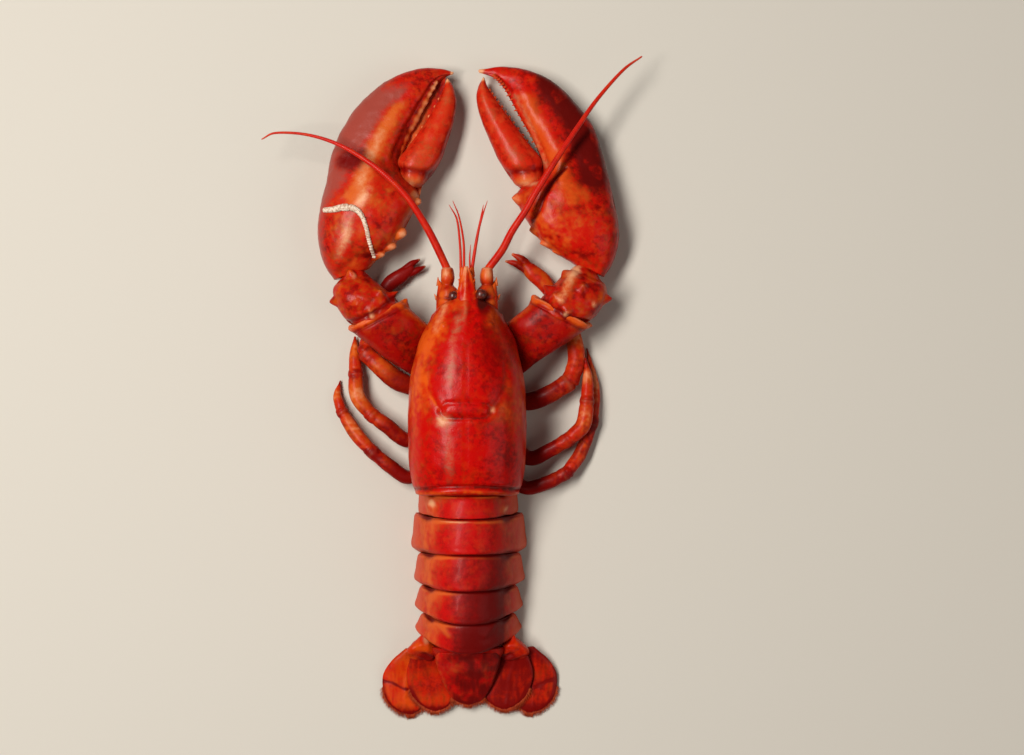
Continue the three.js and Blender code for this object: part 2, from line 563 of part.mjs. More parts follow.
// Walking legs: points of the middle line, half width and half height, from breastplate to toe.
// The joints are the rows where one piece of the leg ends and the next one starts.
const LEGS = [
  {
    name: "leg_1_left",
    rows: [
      [-9, 6, 4.8, 2.6, 2.6], [-20, 5.4, 5, 3.8, 3],
      [-32, 8.6, 7.6, 4.7, 3.5], [-41, 15.6, 8.6, 4.4, 3.4],
      [-48.6, 22.4, 6.8, 3.8, 3.2], [-46.4, 31, 4.4, 3.4, 2.9], [-42.6, 42, 3.8, 3.1, 2.8],
      [-39.4, 50.6, 4, 3, 2.8],
    ],
    joints: [4],
    pincer: {
      rows: [
        [-39.6, 51, 4, 2.9, 2.7], [-36.8, 55, 4.2, 3.6, 3],
        [-31, 59, 4.4, 3.4, 2.8], [-26.6, 62, 4.3, 2.3, 2.2],
      ],
      fingers: [
        [[-29.6, 61.6, 4.3, 1.5, 1.7], [-26.6, 64.6, 4.3, 1.1, 1.3], [-23.6, 66, 4.2, 0.4, 0.5]],
        [[-27.8, 59.6, 4.3, 1.5, 1.7], [-24, 61.6, 4.3, 1.1, 1.3], [-20.8, 62.8, 4.2, 0.4, 0.5]],
      ],
    },
  },
  {
    name: "leg_2_left",
    rows: [
      [-9.4, -6, 4.8, 2.5, 2.5], [-18, -12.6, 4.9, 3, 2.8], [-28.2, -19, 6.6, 3.5, 3.1],
      [-38.5, -11.8, 8.6, 3.6, 3.2], [-45.6, -6.8, 8.4, 3.2, 3], [-52, 1.8, 7.6, 3.6, 3.2],
      [-53, 12.6, 5.8, 3.4, 3], [-53.6, 22, 4, 2.4, 2.2], [-53.6, 28.6, 2.6, 0.7, 0.7],
    ],
    joints: [4, 6],
  },
  {
    name: "leg_3_left",
    rows: [
      [-9.4, -18, 4.8, 2.5, 2.5], [-18, -28.6, 4.9, 2.9, 2.7], [-27.4, -36.4, 6.4, 3.2, 3],
      [-36.4, -31.4, 8.2, 3.3, 3], [-45.8, -23.6, 8.4, 3, 2.8], [-53.1, -15.4, 7, 3.3, 2.9],
      [-59.6, -5.4, 4.6, 2.7, 2.5], [-61.9, 1.8, 3, 2, 1.9], [-60.9, 7.8, 1.6, 0.5, 0.5],
    ],
    joints: [4, 6],
  },
  {
    name: "leg_1_right",
    rows: [
      [9, 6, 4.8, 2.6, 2.6], [18, 1.6, 5, 3.4, 2.9],
      [28, -0.8, 6.8, 4.2, 3.3], [37.6, 2.4, 8.6, 4.3, 3.4],
      [47.8, 8.6, 8.4, 4.2, 3.4], [51, 18.6, 6.4, 4.1, 3.3],
      [49.4, 30, 4.6, 3.8, 3.1], [43.6, 41.6, 4, 3.3, 2.9],
      [39, 50, 4, 3, 2.8],
    ],
    joints: [4],
    pincer: {
      rows: [
        [38.8, 50.6, 4, 3, 2.8], [35.8, 55.4, 4.2, 4, 3],
        [30.6, 60, 4.4, 3.8, 2.9], [27, 63.4, 4.3, 2.6, 2.3],
      ],
      fingers: [
        [[29, 62.4, 4.3, 1.7, 1.8], [25.4, 66.6, 4.3, 1.5, 1.5], [21.4, 68.8, 4.2, 0.5, 0.5]],
        [[26.6, 61.6, 4.3, 1.5, 1.7], [22.4, 64.4, 4.3, 1.1, 1.3], [18, 65.3, 4.2, 0.4, 0.5]],
      ],
    },
  },
  {
    name: "leg_2_right",
    rows: [
      [9.4, -6, 4.8, 2.5, 2.5], [18, -17.6, 4.9, 3, 2.8],
      [28.4, -27.2, 6.8, 3.5, 3.1], [38, -23.8, 9.4, 3.4, 3.2],
      [47, -18.6, 10.4, 3.3, 3.1], [54, -11.6, 10.6, 3.7, 3.2], [55.9, 0, 9.4, 3.2, 2.9],
      [56.3, 10, 8.2, 2.4, 2.2], [55.4, 18.4, 7.4, 0.7, 0.7],
    ],
    joints: [4, 6],
  },
  {
    name: "leg_3_right",
    rows: [
      [9.4, -18, 4.8, 2.5, 2.5], [17, -30.6, 4.9, 2.9, 2.7],
      [26, -41, 6.4, 3.2, 3], [37, -39, 7.6, 3.3, 3],
      [46.4, -34.4, 7.4, 3, 2.8], [53, -25, 5, 3.2, 2.8], [58.6, -10.6, 3.6, 2.9, 2.6],
      [59.9, 6, 2.6, 2.2, 2], [56.4, 23, 1.2, 0.5, 0.5],
    ],
    joints: [4, 6],
  },
];

// The last pair is folded back under the front of the tail
const FOLDED_LEG = {
  rows: [
    [-8.6, -31, 4.6, 2.2, 2.2], [-15.4, -40, 4.4, 2.6, 2.4],
    [-19, -49, 4, 2.4, 2.1], [-15.6, -60, 3.3, 2, 1.8],
    [-11, -69, 2.8, 1.4, 1.3], [-8.6, -75, 2.4, 0.5, 0.5],
  ],
  joints: [2],
};

function legPieces({ name, rows, joints, pincer }, before) {
  const ends = [0, ...joints, rows.length - 1];
  const words = ["thigh", "shin", "foot"];
  const pieces = ends.slice(1).map((end, i) => {
    const solid = limb(rows.slice(ends[i], end + 1), { steps: end - ends[i] > 2 ? 1 : 2 });
    return [`${name}_${words[i]}`, solid];
  });
  if (pincer) {
    const fingers = pincer.fingers.map((finger) => limb(finger, { sides: 6, steps: 1 }));
    pieces.push([`${name}_pincer`, joined(limb(pincer.rows, { steps: 1 }), ...fingers)]);
  }
  const made = [];
  pieces.forEach(([piece, solid]) => {
    made.push([piece, clearOf(solid, ...before, ...made.map(([, earlier]) => earlier))]);
  });
  return made;
}

// Breastplate: a narrow flat keel under a wider plate that carries the legs
const PLATE_LEVEL = 5;

function makeUnderbody() {
  const plates = [[-41.6, 0.7, 6], [-37, 1, 8], [-20, 1, 9.2], [14, 1, 8], [27, 0.7, 5.4]];
  const rings = plates.map(([y, share, plate]) => {
    const keel = share * KEEL_HALF_WIDTH;
    const ring = [
      [plate, KEEL_HEIGHT], [-plate, KEEL_HEIGHT], [-plate, PLATE_LEVEL],
      [-keel, 0], [keel, 0], [plate, PLATE_LEVEL],
    ];
    return ring.map(([x, z]) => new THREE.Vector3(x, y, z));
  });
  return skin(rings);
}

// Head: jaw legs, eyes, the bases of the long feelers with their scales, and the feelers
const JAW_LEG = [
  [-3.4, 29, 5.4, 2.7, 2.6], [-4.4, 36, 9, 2.9, 2.8],
  [-4.6, 43, 14, 2.6, 2.6], [-3.4, 49.4, 19.6, 1.6, 1.7],
];
const FEELER_BASE = [
  [-13, 40.4, -5.6, 41.6, 27.6, 19.6],
  [-12.7, 46.4, -5.4, 46.4, 28.8, 19.8],
  [-12.4, 52, -5.6, 52, 29, 20.4],
  [-11.9, 57, -6.2, 57, 28.8, 21.4],
  [-11.5, 61, -6.8, 61, 28, 22.6],
];
const FEELER_SCALE = [
  [-14.4, 42, -10, 42, 25, 21.4],
  [-14.3, 48.8, -9.6, 48.8, 25, 21.8],
  [-13.7, 53.4, -11.2, 53.4, 24.8, 22.4],
  [-13.4, 56.2, -12.8, 56.2, 24.4, 23.6],
];
const LEFT_ANTENNA = [
  [-9.2, 61.4, 25.4, 1, 1], [-14.1, 71.1, 27, 1, 1], [-19.1, 80.6, 29, 0.94, 0.94],
  [-27.4, 93.2, 31, 0.84, 0.84], [-38.4, 104.2, 31.4, 0.74, 0.74], [-51.3, 113.4, 29.6, 0.6, 0.6],
  [-63.1, 119.4, 27, 0.48, 0.48], [-75.9, 123, 24, 0.38, 0.38], [-89.1, 123.9, 20.6, 0.3, 0.3],
  [-95.4, 121.4, 18.8, 0.2, 0.2],
];
const RIGHT_ANTENNA = [
  [10, 61.4, 25.4, 1, 1], [16.1, 69.2, 27, 1, 1], [20.7, 77.8, 28.4, 0.94, 0.94],
  [26.7, 86.9, 29.4, 0.88, 0.88], [31.7, 95.7, 29.6, 0.84, 0.84], [41.3, 111.1, 28.6, 0.76, 0.76],
  [50.6, 125.4, 26.4, 0.66, 0.66], [60.2, 139.3, 24, 0.52, 0.52], [72.1, 152.9, 21.4, 0.4, 0.4],
  [80.8, 159.5, 19.6, 0.24, 0.24],
];

function makeFeeler(rows) {
  const half = ANTENNA_ROOT_WIDTH / 2;
  const sized = rows.map(([x, y, z, wide, high]) => [x, y, z, wide * half, high * half]);
  return limb(sized, { sides: 7, steps: 2 });
}

// Short feelers: one stem with two whips
const LEFT_SMALL_FEELER = {
  stem: [[-2.4, 47.2, 27.4, 1.7, 1.5], [-2.2, 55, 28, 1.6, 1.4], [-2, 60.8, 28.4, 1.3, 1.2]],
  whips: [
    [[-2.8, 59.9, 28.2, 0.6, 0.6], [-3.1, 70.5, 29.6, 0.55, 0.55], [-4.5, 82.7, 31.4, 0.45, 0.45],
      [-8, 89.4, 32.6, 0.2, 0.2]],
    [[-1.4, 59.8, 28.6, 0.6, 0.6], [-1.5, 72.4, 30.6, 0.5, 0.5],
     [-3.5, 83.9, 32.8, 0.4, 0.4], [-6.3, 91.1, 34.4, 0.2, 0.2]],
  ],
};
const RIGHT_SMALL_FEELER = {
  stem: [[2.4, 47.2, 27.4, 1.7, 1.5], [2.2, 55, 28, 1.6, 1.4], [2, 60.8, 28.4, 1.3, 1.2]],
  whips: [
    [[1.4, 59.8, 28.8, 0.5, 0.5], [1.3, 65.6, 29.8, 0.45, 0.45], [1.7, 71.3, 30.8, 0.2, 0.2]],
    [[2.2, 59.9, 28.2, 0.75, 0.75], [4.4, 73.4, 29.8, 0.7, 0.7],
     [6.6, 84.1, 31.2, 0.5, 0.5], [7.6, 89.5, 31.8, 0.2, 0.2]],
    [[5.9, 80.2, 30.7, 0.5, 0.5], [7.6, 85.9, 32, 0.4, 0.4], [9.4, 91.2, 33.2, 0.2, 0.2]],
  ],
};

const makeSmallFeeler = ({ stem, whips }) => joined(
  limb(stem, { sides: 7, steps: 1 }), ...whips.map((rows) => limb(rows, { sides: 5, steps: 1 })));

const EYE_PLACES = { left: [-6.2, 47.9, 33], right: [6.5, 48.6, 33] };

function makeEye(side, [x, y, z]) {
  const stalk = spine([side * 3, 45, 31], [x, y + 1.4, z], 2, 8);
  const ball = new THREE.SphereGeometry(EYE_RADIUS, 8, 6);
  ball.translate(x, y, z);
  return joined(stalk, fromGeometry(ball));
}

// Assembly: every solid is cut clear of the neighbours that were placed before it
const lobster = new THREE.Group();
const placed = new Map();

function place(group, name, solid, material, clearNames = []) {
  const others = clearNames.map((other) => placed.get(other));
  const fitted = others.length ? clearOf(solid, ...others) : solid;
  placed.set(name, fitted);
  const geometry = toGeometry(fitted);
  geometry.computeBoundingBox();
  const centre = geometry.boundingBox.getCenter(new THREE.Vector3());
  geometry.translate(-centre.x, -centre.y, -centre.z);
  const mesh = new THREE.Mesh(geometry, material);
  mesh.name = name;
  mesh.position.copy(centre);
  group.add(mesh);
}

function addGroup() {
  const group = new THREE.Group();
  lobster.add(group);
  return group;
}

const SIDES = [["left", -1], ["right", 1]];
const body = addGroup();
const head = addGroup();
const tail = addGroup();
const arms = addGroup();
const legs = addGroup();

place(body, "underbody", makeUnderbody(), BELLY_PALE);
place(body, "carapace", makeCarapace(), SHELL_RED, ["underbody"]);

SIDES.forEach(([word, side]) => {
  const turned = (rows) => (side < 0 ? rows : mirrorRows(rows));
  const turnedLimb = (rows) => (side < 0 ? rows : mirrorLimb(rows));
  const jawLeg = limb(turnedLimb(JAW_LEG), { steps: 1 });
  place(head, `jaw_leg_${word}`, jawLeg, LIMB_ORANGE, ["underbody", "carapace"]);
  place(head, `eye_${word}`, makeEye(side, EYE_PLACES[word]), EYE_DARK, ["carapace"]);
  const scale = flatPiece(turned(FEELER_SCALE), { sides: 8 });
  const base = joined(flatPiece(turned(FEELER_BASE), { sides: 12 }), scale);
  place(head, `feeler_base_${word}`, base, SHELL_RED, ["carapace", `eye_${word}`, `jaw_leg_${word}`]);
  const small = side < 0 ? LEFT_SMALL_FEELER : RIGHT_SMALL_FEELER;
  const around = ["carapace", `eye_${word}`, `feeler_base_${word}`, `jaw_leg_${word}`];
  place(head, `small_feeler_${word}`, makeSmallFeeler(small), FEELER_RED, around);
});

TAIL_RINGS.forEach((ring, i) => {
  const shell = makeTailRing(ring);
  const whole = i > 0 ? joined(shell, ...swimmerets(ring)) : shell;
  const before = i === 0 ? ["carapace", "underbody"] : [`tail_ring_${i}`];
  place(tail, `tail_ring_${i + 1}`, whole, SHELL_RED, before);
});
place(tail, "tail_ring_6", makeLastRing(), SHELL_RED, ["tail_ring_5"]);
place(tail, "telson", makeTelson(), SHELL_RED, ["tail_ring_6", "tail_ring_5"]);
SIDES.forEach(([word, side]) => {
  const turned = (rows) => (side < 0 ? rows : mirrorRows(rows));
  const [right, ahead] = side < 0 ? [0, 0] : FAN_RIGHT_SHIFT;
  const moved = (rows) => turned(rows).map(([a, b, c, d, top, low]) => (
    [a + right, b + ahead, c + right, d + ahead, top, low]));
  const leaf = (rows) => flatPiece(moved(rows), { sides: LEAF_SIDES, steps: 1, square: 2.4 });
  const middle = ["tail_ring_5", "tail_ring_6", "telson"];
  place(tail, `fan_base_${word}`, flatPiece(turned(FAN_BASE), { sides: 10 }), LIMB_ORANGE, middle);
  place(tail, `fan_inner_${word}`, leaf(FAN_INNER), LIMB_ORANGE, [...middle, `fan_base_${word}`]);
  place(tail, `fan_outer_${word}`, leaf(FAN_OUTER), LIMB_ORANGE,
    [...middle, `fan_base_${word}`, `fan_inner_${word}`]);
});

const ARMS = {
  left: {
    claw: makeCrusher, finger: atHeight(CRUSHER_FINGER, CRUSHER_HEIGHT),
    wrist: [LEFT_WRIST, LEFT_WRIST_SPINES], upper: [LEFT_UPPER_ARM, LEFT_ARM_SPINES],
    antenna: LEFT_ANTENNA,
  },
  right: {
    claw: makeCutter, finger: atHeight(CUTTER_FINGER, CUTTER_HEIGHT),
    wrist: [RIGHT_WRIST, RIGHT_WRIST_SPINES], upper: [RIGHT_UPPER_ARM, RIGHT_ARM_SPINES],
    antenna: RIGHT_ANTENNA,
  },
};
SIDES.forEach(([word, side]) => {
  const arm = ARMS[word];
  place(arms, `claw_finger_${word}`, flatPiece(arm.finger, { sides: FINGER_SIDES, steps: 2 }), CLAW_RED);
  place(arms, `claw_${word}`, arm.claw(), CLAW_RED, [`claw_finger_${word}`]);
  place(arms, `wrist_${word}`, armPiece(...arm.wrist), CLAW_RED, [`claw_${word}`]);
  place(arms, `upper_arm_${word}`, armPiece(...arm.upper), CLAW_RED, [`wrist_${word}`, "carapace"]);
  const base = limb(side < 0 ? ARM_BASE : mirrorLimb(ARM_BASE), { sides: 8, steps: 1 });
  place(arms, `arm_base_${word}`, base, LIMB_ORANGE,
    ["underbody", "carapace", `upper_arm_${word}`, `jaw_leg_${word}`]);
  place(head, `antenna_${word}`, makeFeeler(arm.antenna), FEELER_RED,
    [`feeler_base_${word}`, `claw_${word}`, `claw_finger_${word}`, `small_feeler_${word}`]);
});

const folded = SIDES.map(([word, side]) => ({
  name: `leg_4_${word}`,
  rows: side < 0 ? FOLDED_LEG.rows : mirrorLimb(FOLDED_LEG.rows),
  joints: FOLDED_LEG.joints,
}));
[...LEGS, ...folded].forEach((leg) => {
  const fixed = [...placed.entries()].filter(([name]) => !/antenna|feeler|eye|fan|telson/.test(name));
  const near = fixed.map(([, solid]) => solid);
  legPieces(leg, near).forEach(([name, solid]) => place(legs, name, solid, LIMB_ORANGE));
});

export default lobster;
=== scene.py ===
import random

import bmesh
import bpy
import numpy as np
from mathutils import Matrix, Vector, noise
from mathutils.bvhtree import BVHTree


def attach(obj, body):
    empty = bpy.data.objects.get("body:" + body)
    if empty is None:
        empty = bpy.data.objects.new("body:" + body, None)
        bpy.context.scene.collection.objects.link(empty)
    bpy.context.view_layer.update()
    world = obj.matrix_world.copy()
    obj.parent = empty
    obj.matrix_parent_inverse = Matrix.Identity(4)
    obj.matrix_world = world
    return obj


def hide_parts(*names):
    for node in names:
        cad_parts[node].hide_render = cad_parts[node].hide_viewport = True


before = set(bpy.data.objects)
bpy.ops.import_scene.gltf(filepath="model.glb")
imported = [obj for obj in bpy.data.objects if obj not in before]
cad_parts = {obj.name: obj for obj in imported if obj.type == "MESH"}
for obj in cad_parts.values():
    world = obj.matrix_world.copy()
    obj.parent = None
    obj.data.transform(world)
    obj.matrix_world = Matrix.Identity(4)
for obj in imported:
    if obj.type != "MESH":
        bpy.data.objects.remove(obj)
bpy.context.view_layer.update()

# Studio: a plain pale floor that the lobster lies on, one large soft lamp high up on its left, a weak
# one on its right, and a camera that looks straight down. Sizes here are in metres.
FLOOR_SIZE = 4
FLOOR_COLOUR = (0.60, 0.56, 0.49, 1)
FLOOR_ROUGHNESS = 0.9
SKY_COLOUR = (0.93, 0.95, 1.0, 1)
SKY_STRENGTH = 0.06
CAMERA_PLACE = (0.02068, 0.010575, 0.908)
CAMERA_LENS = 67.3
FILM_WIDTH = 36
NEAREST_SEEN = 0.01
LAMPS = {
    "key": {"place": (-0.6, 0.2, 1.2), "long": 1.0, "wide": 0.3, "watts": 22.5, "colour": (1.0, 0.97, 0.93)},
    "fill": {"place": (1.0, -0.3, 0.9), "long": 0.9, "wide": 0.9, "watts": 3.6, "colour": (1.0, 0.95, 0.9)},
}
MIDDLE_OF_BODY = Vector((0.0, 0.0, 0.03))

sky = bpy.data.worlds.new("sky")
sky.use_nodes = True
sky.node_tree.nodes["Background"].inputs["Color"].default_value = SKY_COLOUR
sky.node_tree.nodes["Background"].inputs["Strength"].default_value = SKY_STRENGTH
bpy.context.scene.world = sky
bpy.context.scene.view_settings.view_transform = "Standard"

for name, size in LAMPS.items():
    lamp = bpy.data.lights.new(name, "AREA")
    lamp.shape = "RECTANGLE"
    lamp.size = size["long"]
    lamp.size_y = size["wide"]
    lamp.energy = size["watts"]
    lamp.color = size["colour"]
    stand = bpy.data.objects.new(name, lamp)
    stand.location = size["place"]
    stand.rotation_euler = (Vector(size["place"]) - MIDDLE_OF_BODY).to_track_quat("Z", "Y").to_euler()
    bpy.context.collection.objects.link(stand)

camera = bpy.data.objects.new("camera", bpy.data.cameras.new("camera"))
camera.data.lens = CAMERA_LENS
camera.data.sensor_width = FILM_WIDTH
camera.data.clip_start = NEAREST_SEEN
camera.location = CAMERA_PLACE
bpy.context.collection.objects.link(camera)
bpy.context.scene.camera = camera

floor_sheet = bmesh.new()
bmesh.ops.create_grid(floor_sheet, x_segments=1, y_segments=1, size=FLOOR_SIZE)
floor_mesh = bpy.data.meshes.new("floor")
floor_sheet.to_mesh(floor_mesh)
floor = bpy.data.objects.new("floor", floor_mesh)
bpy.context.collection.objects.link(floor)
floor_finish = bpy.data.materials.new("floor")
floor_finish.use_nodes = True
floor_finish.node_tree.nodes["Principled BSDF"].inputs["Base Color"].default_value = FLOOR_COLOUR
floor_finish.node_tree.nodes["Principled BSDF"].inputs["Roughness"].default_value = FLOOR_ROUGHNESS
floor.data.materials.append(floor_finish)


# Carapace: the one large shield over head and thorax, a thin cooked shell. It is grown as one piece,
# with a groove behind the neck, a raised rear rim and a beak between the eyes. Sizes from here on are
# in millimetres, with +Y to the head, and the skins are made metres when they are done.
MILLIMETRE = 0.001
SAME_PLACE = 1e-5
SPIKE_TIP = 0.12
CARAPACE_HALF_WIDTH = 27.3
CARAPACE_HEIGHT = 49
CARAPACE_WAIST = 0.36
CARAPACE_ROUNDNESS = 2.25
CARAPACE = [
    [-42.8, 0.86, 0.85, 14], [-41.2, 0.9, 0.885, 12], [-36, 0.95, 0.92, 10.5], [-28, 0.985, 0.96, 9.6],
    [-13, 1, 0.99, 9.2], [0, 0.99, 1, 9.2], [10, 0.965, 0.985, 9.4], [20, 0.885, 0.945, 10],
    [28, 0.81, 0.895, 11], [35.5, 0.66, 0.835, 13.5], [41, 0.54, 0.785, 17], [44.4, 0.42, 0.755, 20.5],
    [46.6, 0.24, 0.73, 25],
]
REAR_CURVE = 0.0035
REAR_GROOVE = -38.8
REAR_RIM = -41.2
NECK_FRONT = [[0, -0.6], [9, -0.9], [11.5, -3.4]]
NECK_BAR = [[0, -4.3], [9, -4.3]]
NECK_REAR = [[0, -7.8], [9.6, -7.6], [11.6, -5.2]]
NECK_SIDE = [[11.3, -4.4], [14.2, -1], [16.4, 2.4], [17.9, 6], [18.5, 11], [18, 18], [16.4, 26]]
BEAK_ROOT = [[4.6, 46], [6.6, 34], [8.4, 26]]
CHEEK_SPINES = [
    [(14, 37.6, 25.4), (14.9, 42.6, 26), 3.2, 1.4],
    [(10.4, 33.5, 37.6), (10.6, 36.6, 39.4), 2.4, 1.3],
]


def read(table, at):
    """Values of a table along a smooth curve through its rows; the first column is the place."""
    rows = np.array(table, float)
    places = rows[:, 0]
    slopes = np.gradient(rows, axis=0)
    slopes[1:-1] = (rows[2:] - rows[:-2]) / (places[2:] - places[:-2])[:, None]
    slopes[0] = (rows[1] - rows[0]) / (places[1] - places[0])
    slopes[-1] = (rows[-1] - rows[-2]) / (places[-1] - places[-2])
    at = np.clip(np.asarray(at, float), places[0], places[-1])
    low = np.clip(np.searchsorted(places, at, side="right") - 1, 0, len(rows) - 2)
    span = (places[low + 1] - places[low])[:, None]
    part = (at - places[low])[:, None] / span
    step = rows[low + 1] - rows[low]
    curl = (slopes[low] * (1 - part) - slopes[low + 1] * part) * span - step * (1 - 2 * part)
    return (rows[low] + step * part + curl * part * (1 - part))[:, 1:].T


def power(value, exponent):
    """A power that keeps the sign of its value."""
    return np.sign(value) * np.abs(value) ** exponent


def ease(value, start, end):
    """0 before start, 1 after end, and smooth between them."""
    part = np.clip((value - start) / (end - start), 0, 1)
    return part * part * (3 - 2 * part)


def bell(value, middle, width):
    """1 at the middle, falling smoothly to 0 on both sides of it."""
    return np.exp(-((value - middle) / width) ** 2)


def columns(*values):
    """Points or ways from their x, y and z, each a number or an array."""
    return np.column_stack(np.broadcast_arrays(*values))


def rolled(around, along, ring, cap=0.03, dome=1.0, shut=1.0):
    """A grid bent into a closed skin with rounded ends. ring gives the middle, the way from the middle
    to the skin, and the way ahead, for each turn round the piece and each share of its length. shut is
    how far the ends close; where they stay open, a flat face fills them."""
    skin = bmesh.new()
    bmesh.ops.create_grid(skin, x_segments=around, y_segments=along, size=0.5)
    shares = np.array([vert.co[:2] for vert in skin.verts]) + 0.5
    turn = 2 * np.pi * shares[:, 0]
    place = np.clip((shares[:, 1] - cap) / (1 - 2 * cap), 0, 1)
    past = np.clip((shares[:, 1] - 1 + cap) / cap, 0, 1) - np.clip((cap - shares[:, 1]) / cap, 0, 1)
    middle, reach, ahead = ring(turn, place)
    bend = past * np.pi / 2
    kept = 1 - shut * (1 - np.cos(bend))
    spots = middle + reach * kept[:, None] + ahead * (dome * np.sin(bend))[:, None]
    marks = {"across": np.cos(turn), "rise": np.sin(turn), "along": place}
    layers = [(skin.verts.layers.float.new(mark), values) for mark, values in marks.items()]
    for number, vert in enumerate(skin.verts):
        vert.co = spots[number]
        for layer, values in layers:
            vert[layer] = values[number]
    bmesh.ops.remove_doubles(skin, verts=skin.verts, dist=SAME_PLACE)
    bmesh.ops.holes_fill(skin, edges=[edge for edge in skin.edges if edge.is_boundary], sides=0)
    bmesh.ops.recalc_face_normals(skin, faces=skin.faces)
    return skin


def marks_of(skin, *names):
    """Where the points of a skin are, and the values stored on them."""
    spots = np.array([vert.co for vert in skin.verts])
    layers = [skin.verts.layers.float[name] for name in names]
    return [spots] + [np.array([vert[layer] for vert in skin.verts]) for layer in layers]


def raised(skin, height):
    """Move each point out along the skin's normal by its height."""
    skin.normal_update()
    for vert, amount in zip(skin.verts, height):
        vert.co += vert.normal * float(amount)


def lumps(spots, size, seed=0):
    """Smooth random values, about -1 to 1, with the given size of lump."""
    shift = Vector((seed * 17.3, seed * 5.1, seed * 9.7))
    return np.array([noise.noise(Vector(spot) / size + shift) for spot in spots])


def pulled(skin, root, tip, radius, sharp=1.2):
    """Draw the skin out from root to tip, as a spine or knob grows. Returns how much each point moved."""
    spots = np.array([vert.co for vert in skin.verts])
    near = np.clip(1 - np.linalg.norm(spots - np.array(root), axis=1) / radius, 0, 1) ** sharp
    way = Vector(tip) - Vector(root)
    for vert, share in zip(skin.verts, near):
        vert.co += way * float(share)
    return near


def groove(spots, path, width):
    """1 on a line through the path's points, seen from above, and 0 away from it."""
    best = np.full(len(spots), 1e9)
    for (x0, y0), (x1, y1) in zip(path, path[1:]):
        run = np.array([x1 - x0, y1 - y0])
        part = np.clip(((spots[:, :2] - (x0, y0)) @ run) / (run @ run), 0, 1)
        best = np.minimum(best, np.linalg.norm(spots[:, :2] - (x0, y0) - part[:, None] * run, axis=1))
    return bell(best, 0, width)


def patch(spots, x, y, wide, long, turn=0.0):
    """1 in the middle of an oval seen from above, and 0 outside it; turn is in degrees."""
    angle = np.radians(turn)
    right, ahead = spots[:, 0] - x, spots[:, 1] - y
    across = (right * np.cos(angle) + ahead * np.sin(angle)) / wide
    along = (ahead * np.cos(angle) - right * np.sin(angle)) / long
    return np.exp(-(across ** 2 + along ** 2))


def patches(spots, ovals):
    """The sum of ovals, each with its strength first."""
    return sum(strength * patch(spots, *oval) for strength, *oval in ovals)


def layer_of(skin, name):
    """The layer of a skin with this name, made if it isn't there yet."""
    return skin.verts.layers.float.get(name) or skin.verts.layers.float.new(name)


def painted(skin, **masks):
    """Store masks on the skin, 0 to 1, for its finish to read."""
    for name, values in masks.items():
        layer = layer_of(skin, name)
        for vert, value in zip(skin.verts, np.broadcast_to(np.clip(values, 0, 1), len(skin.verts))):
            vert[layer] = max(vert[layer], float(value))


def marked(skin, made, masks):
    """Store one value of each mask on points that were just made."""
    for name, value in masks.items():
        layer = layer_of(skin, name)
        for vert in made["verts"]:
            vert[layer] = value


def spike(skin, root, tip, radius, sides=10, **masks):
    """A cone that stands on a skin, from root to tip."""
    for name in masks:
        layer_of(skin, name)
    way = Vector(tip) - Vector(root)
    middle = (Vector(tip) + Vector(root)) / 2
    seat = Matrix.Translation(middle) @ way.to_track_quat("Z", "Y").to_matrix().to_4x4()
    made = bmesh.ops.create_cone(
        skin, cap_ends=True, segments=sides, radius1=radius, radius2=radius * SPIKE_TIP,
        depth=way.length, matrix=seat)
    marked(skin, made, masks)


def bead(skin, place, radius, stretch=(1, 1, 1), **masks):
    """A round bump that stands on a skin."""
    for name in masks:
        layer_of(skin, name)
    seat = Matrix.Translation(place) @ Matrix.Diagonal((*stretch, 1))
    made = bmesh.ops.create_icosphere(skin, subdivisions=2, radius=radius, matrix=seat)
    marked(skin, made, masks)


def piece_of(name, skin, finish):
    """An object of a finished skin, in metres, at the origin. Flat end faces keep a sharp edge."""
    bmesh.ops.scale(skin, vec=(MILLIMETRE,) * 3, verts=skin.verts)
    mesh = bpy.data.meshes.new(name)
    for face in skin.faces:
        face.smooth = len(face.verts) <= 4
    skin.to_mesh(mesh)
    skin.free()
    mesh.materials.append(finish)
    piece = bpy.data.objects.new(name, mesh)
    bpy.context.collection.objects.link(piece)
    return piece


def shown(name, skin, finish, node):
    """A piece of the lobster that takes the place of a node of the part."""
    piece = piece_of(name, skin, finish)
    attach(piece, "root")
    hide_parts(node)


def knot(tree, kind, feeds=(), **settings):
    """A node of a material, with its settings, and values or links for its sockets."""
    made = tree.nodes.new(kind)
    for key, value in settings.items():
        setattr(made, key, value)
    for socket, value in dict(feeds).items():
        if isinstance(value, bpy.types.NodeSocket):
            tree.links.new(value, made.inputs[socket])
        else:
            made.inputs[socket].default_value = value
    return made


def mixed(tree, share, first, second):
    """The colour between two colours."""
    made = knot(tree, "ShaderNodeMix", {0: share, 6: first, 7: second}, data_type="RGBA")
    return made.outputs[2]


def eased(tree, value, start, end):
    """0 to 1 smoothly while the value goes from start to end."""
    return knot(tree, "ShaderNodeMapRange", {"Value": value, "From Min": start, "From Max": end},
                interpolation_type="SMOOTHSTEP").outputs["Result"]


def noise_of(tree, place, size, detail, **more):
    """Random clouds in a material."""
    feeds = {"Vector": place, "Scale": size, "Detail": detail, **more}
    return knot(tree, "ShaderNodeTexNoise", feeds).outputs[0]


def times(tree, first, second):
    return knot(tree, "ShaderNodeMath", {0: first, 1: second}, operation="MULTIPLY").outputs[0]


def plus(tree, first, second):
    return knot(tree, "ShaderNodeMath", {0: first, 1: second}, operation="ADD").outputs[0]


def less(tree, first, second):
    return knot(tree, "ShaderNodeMath", {0: first, 1: second}, operation="SUBTRACT").outputs[0]


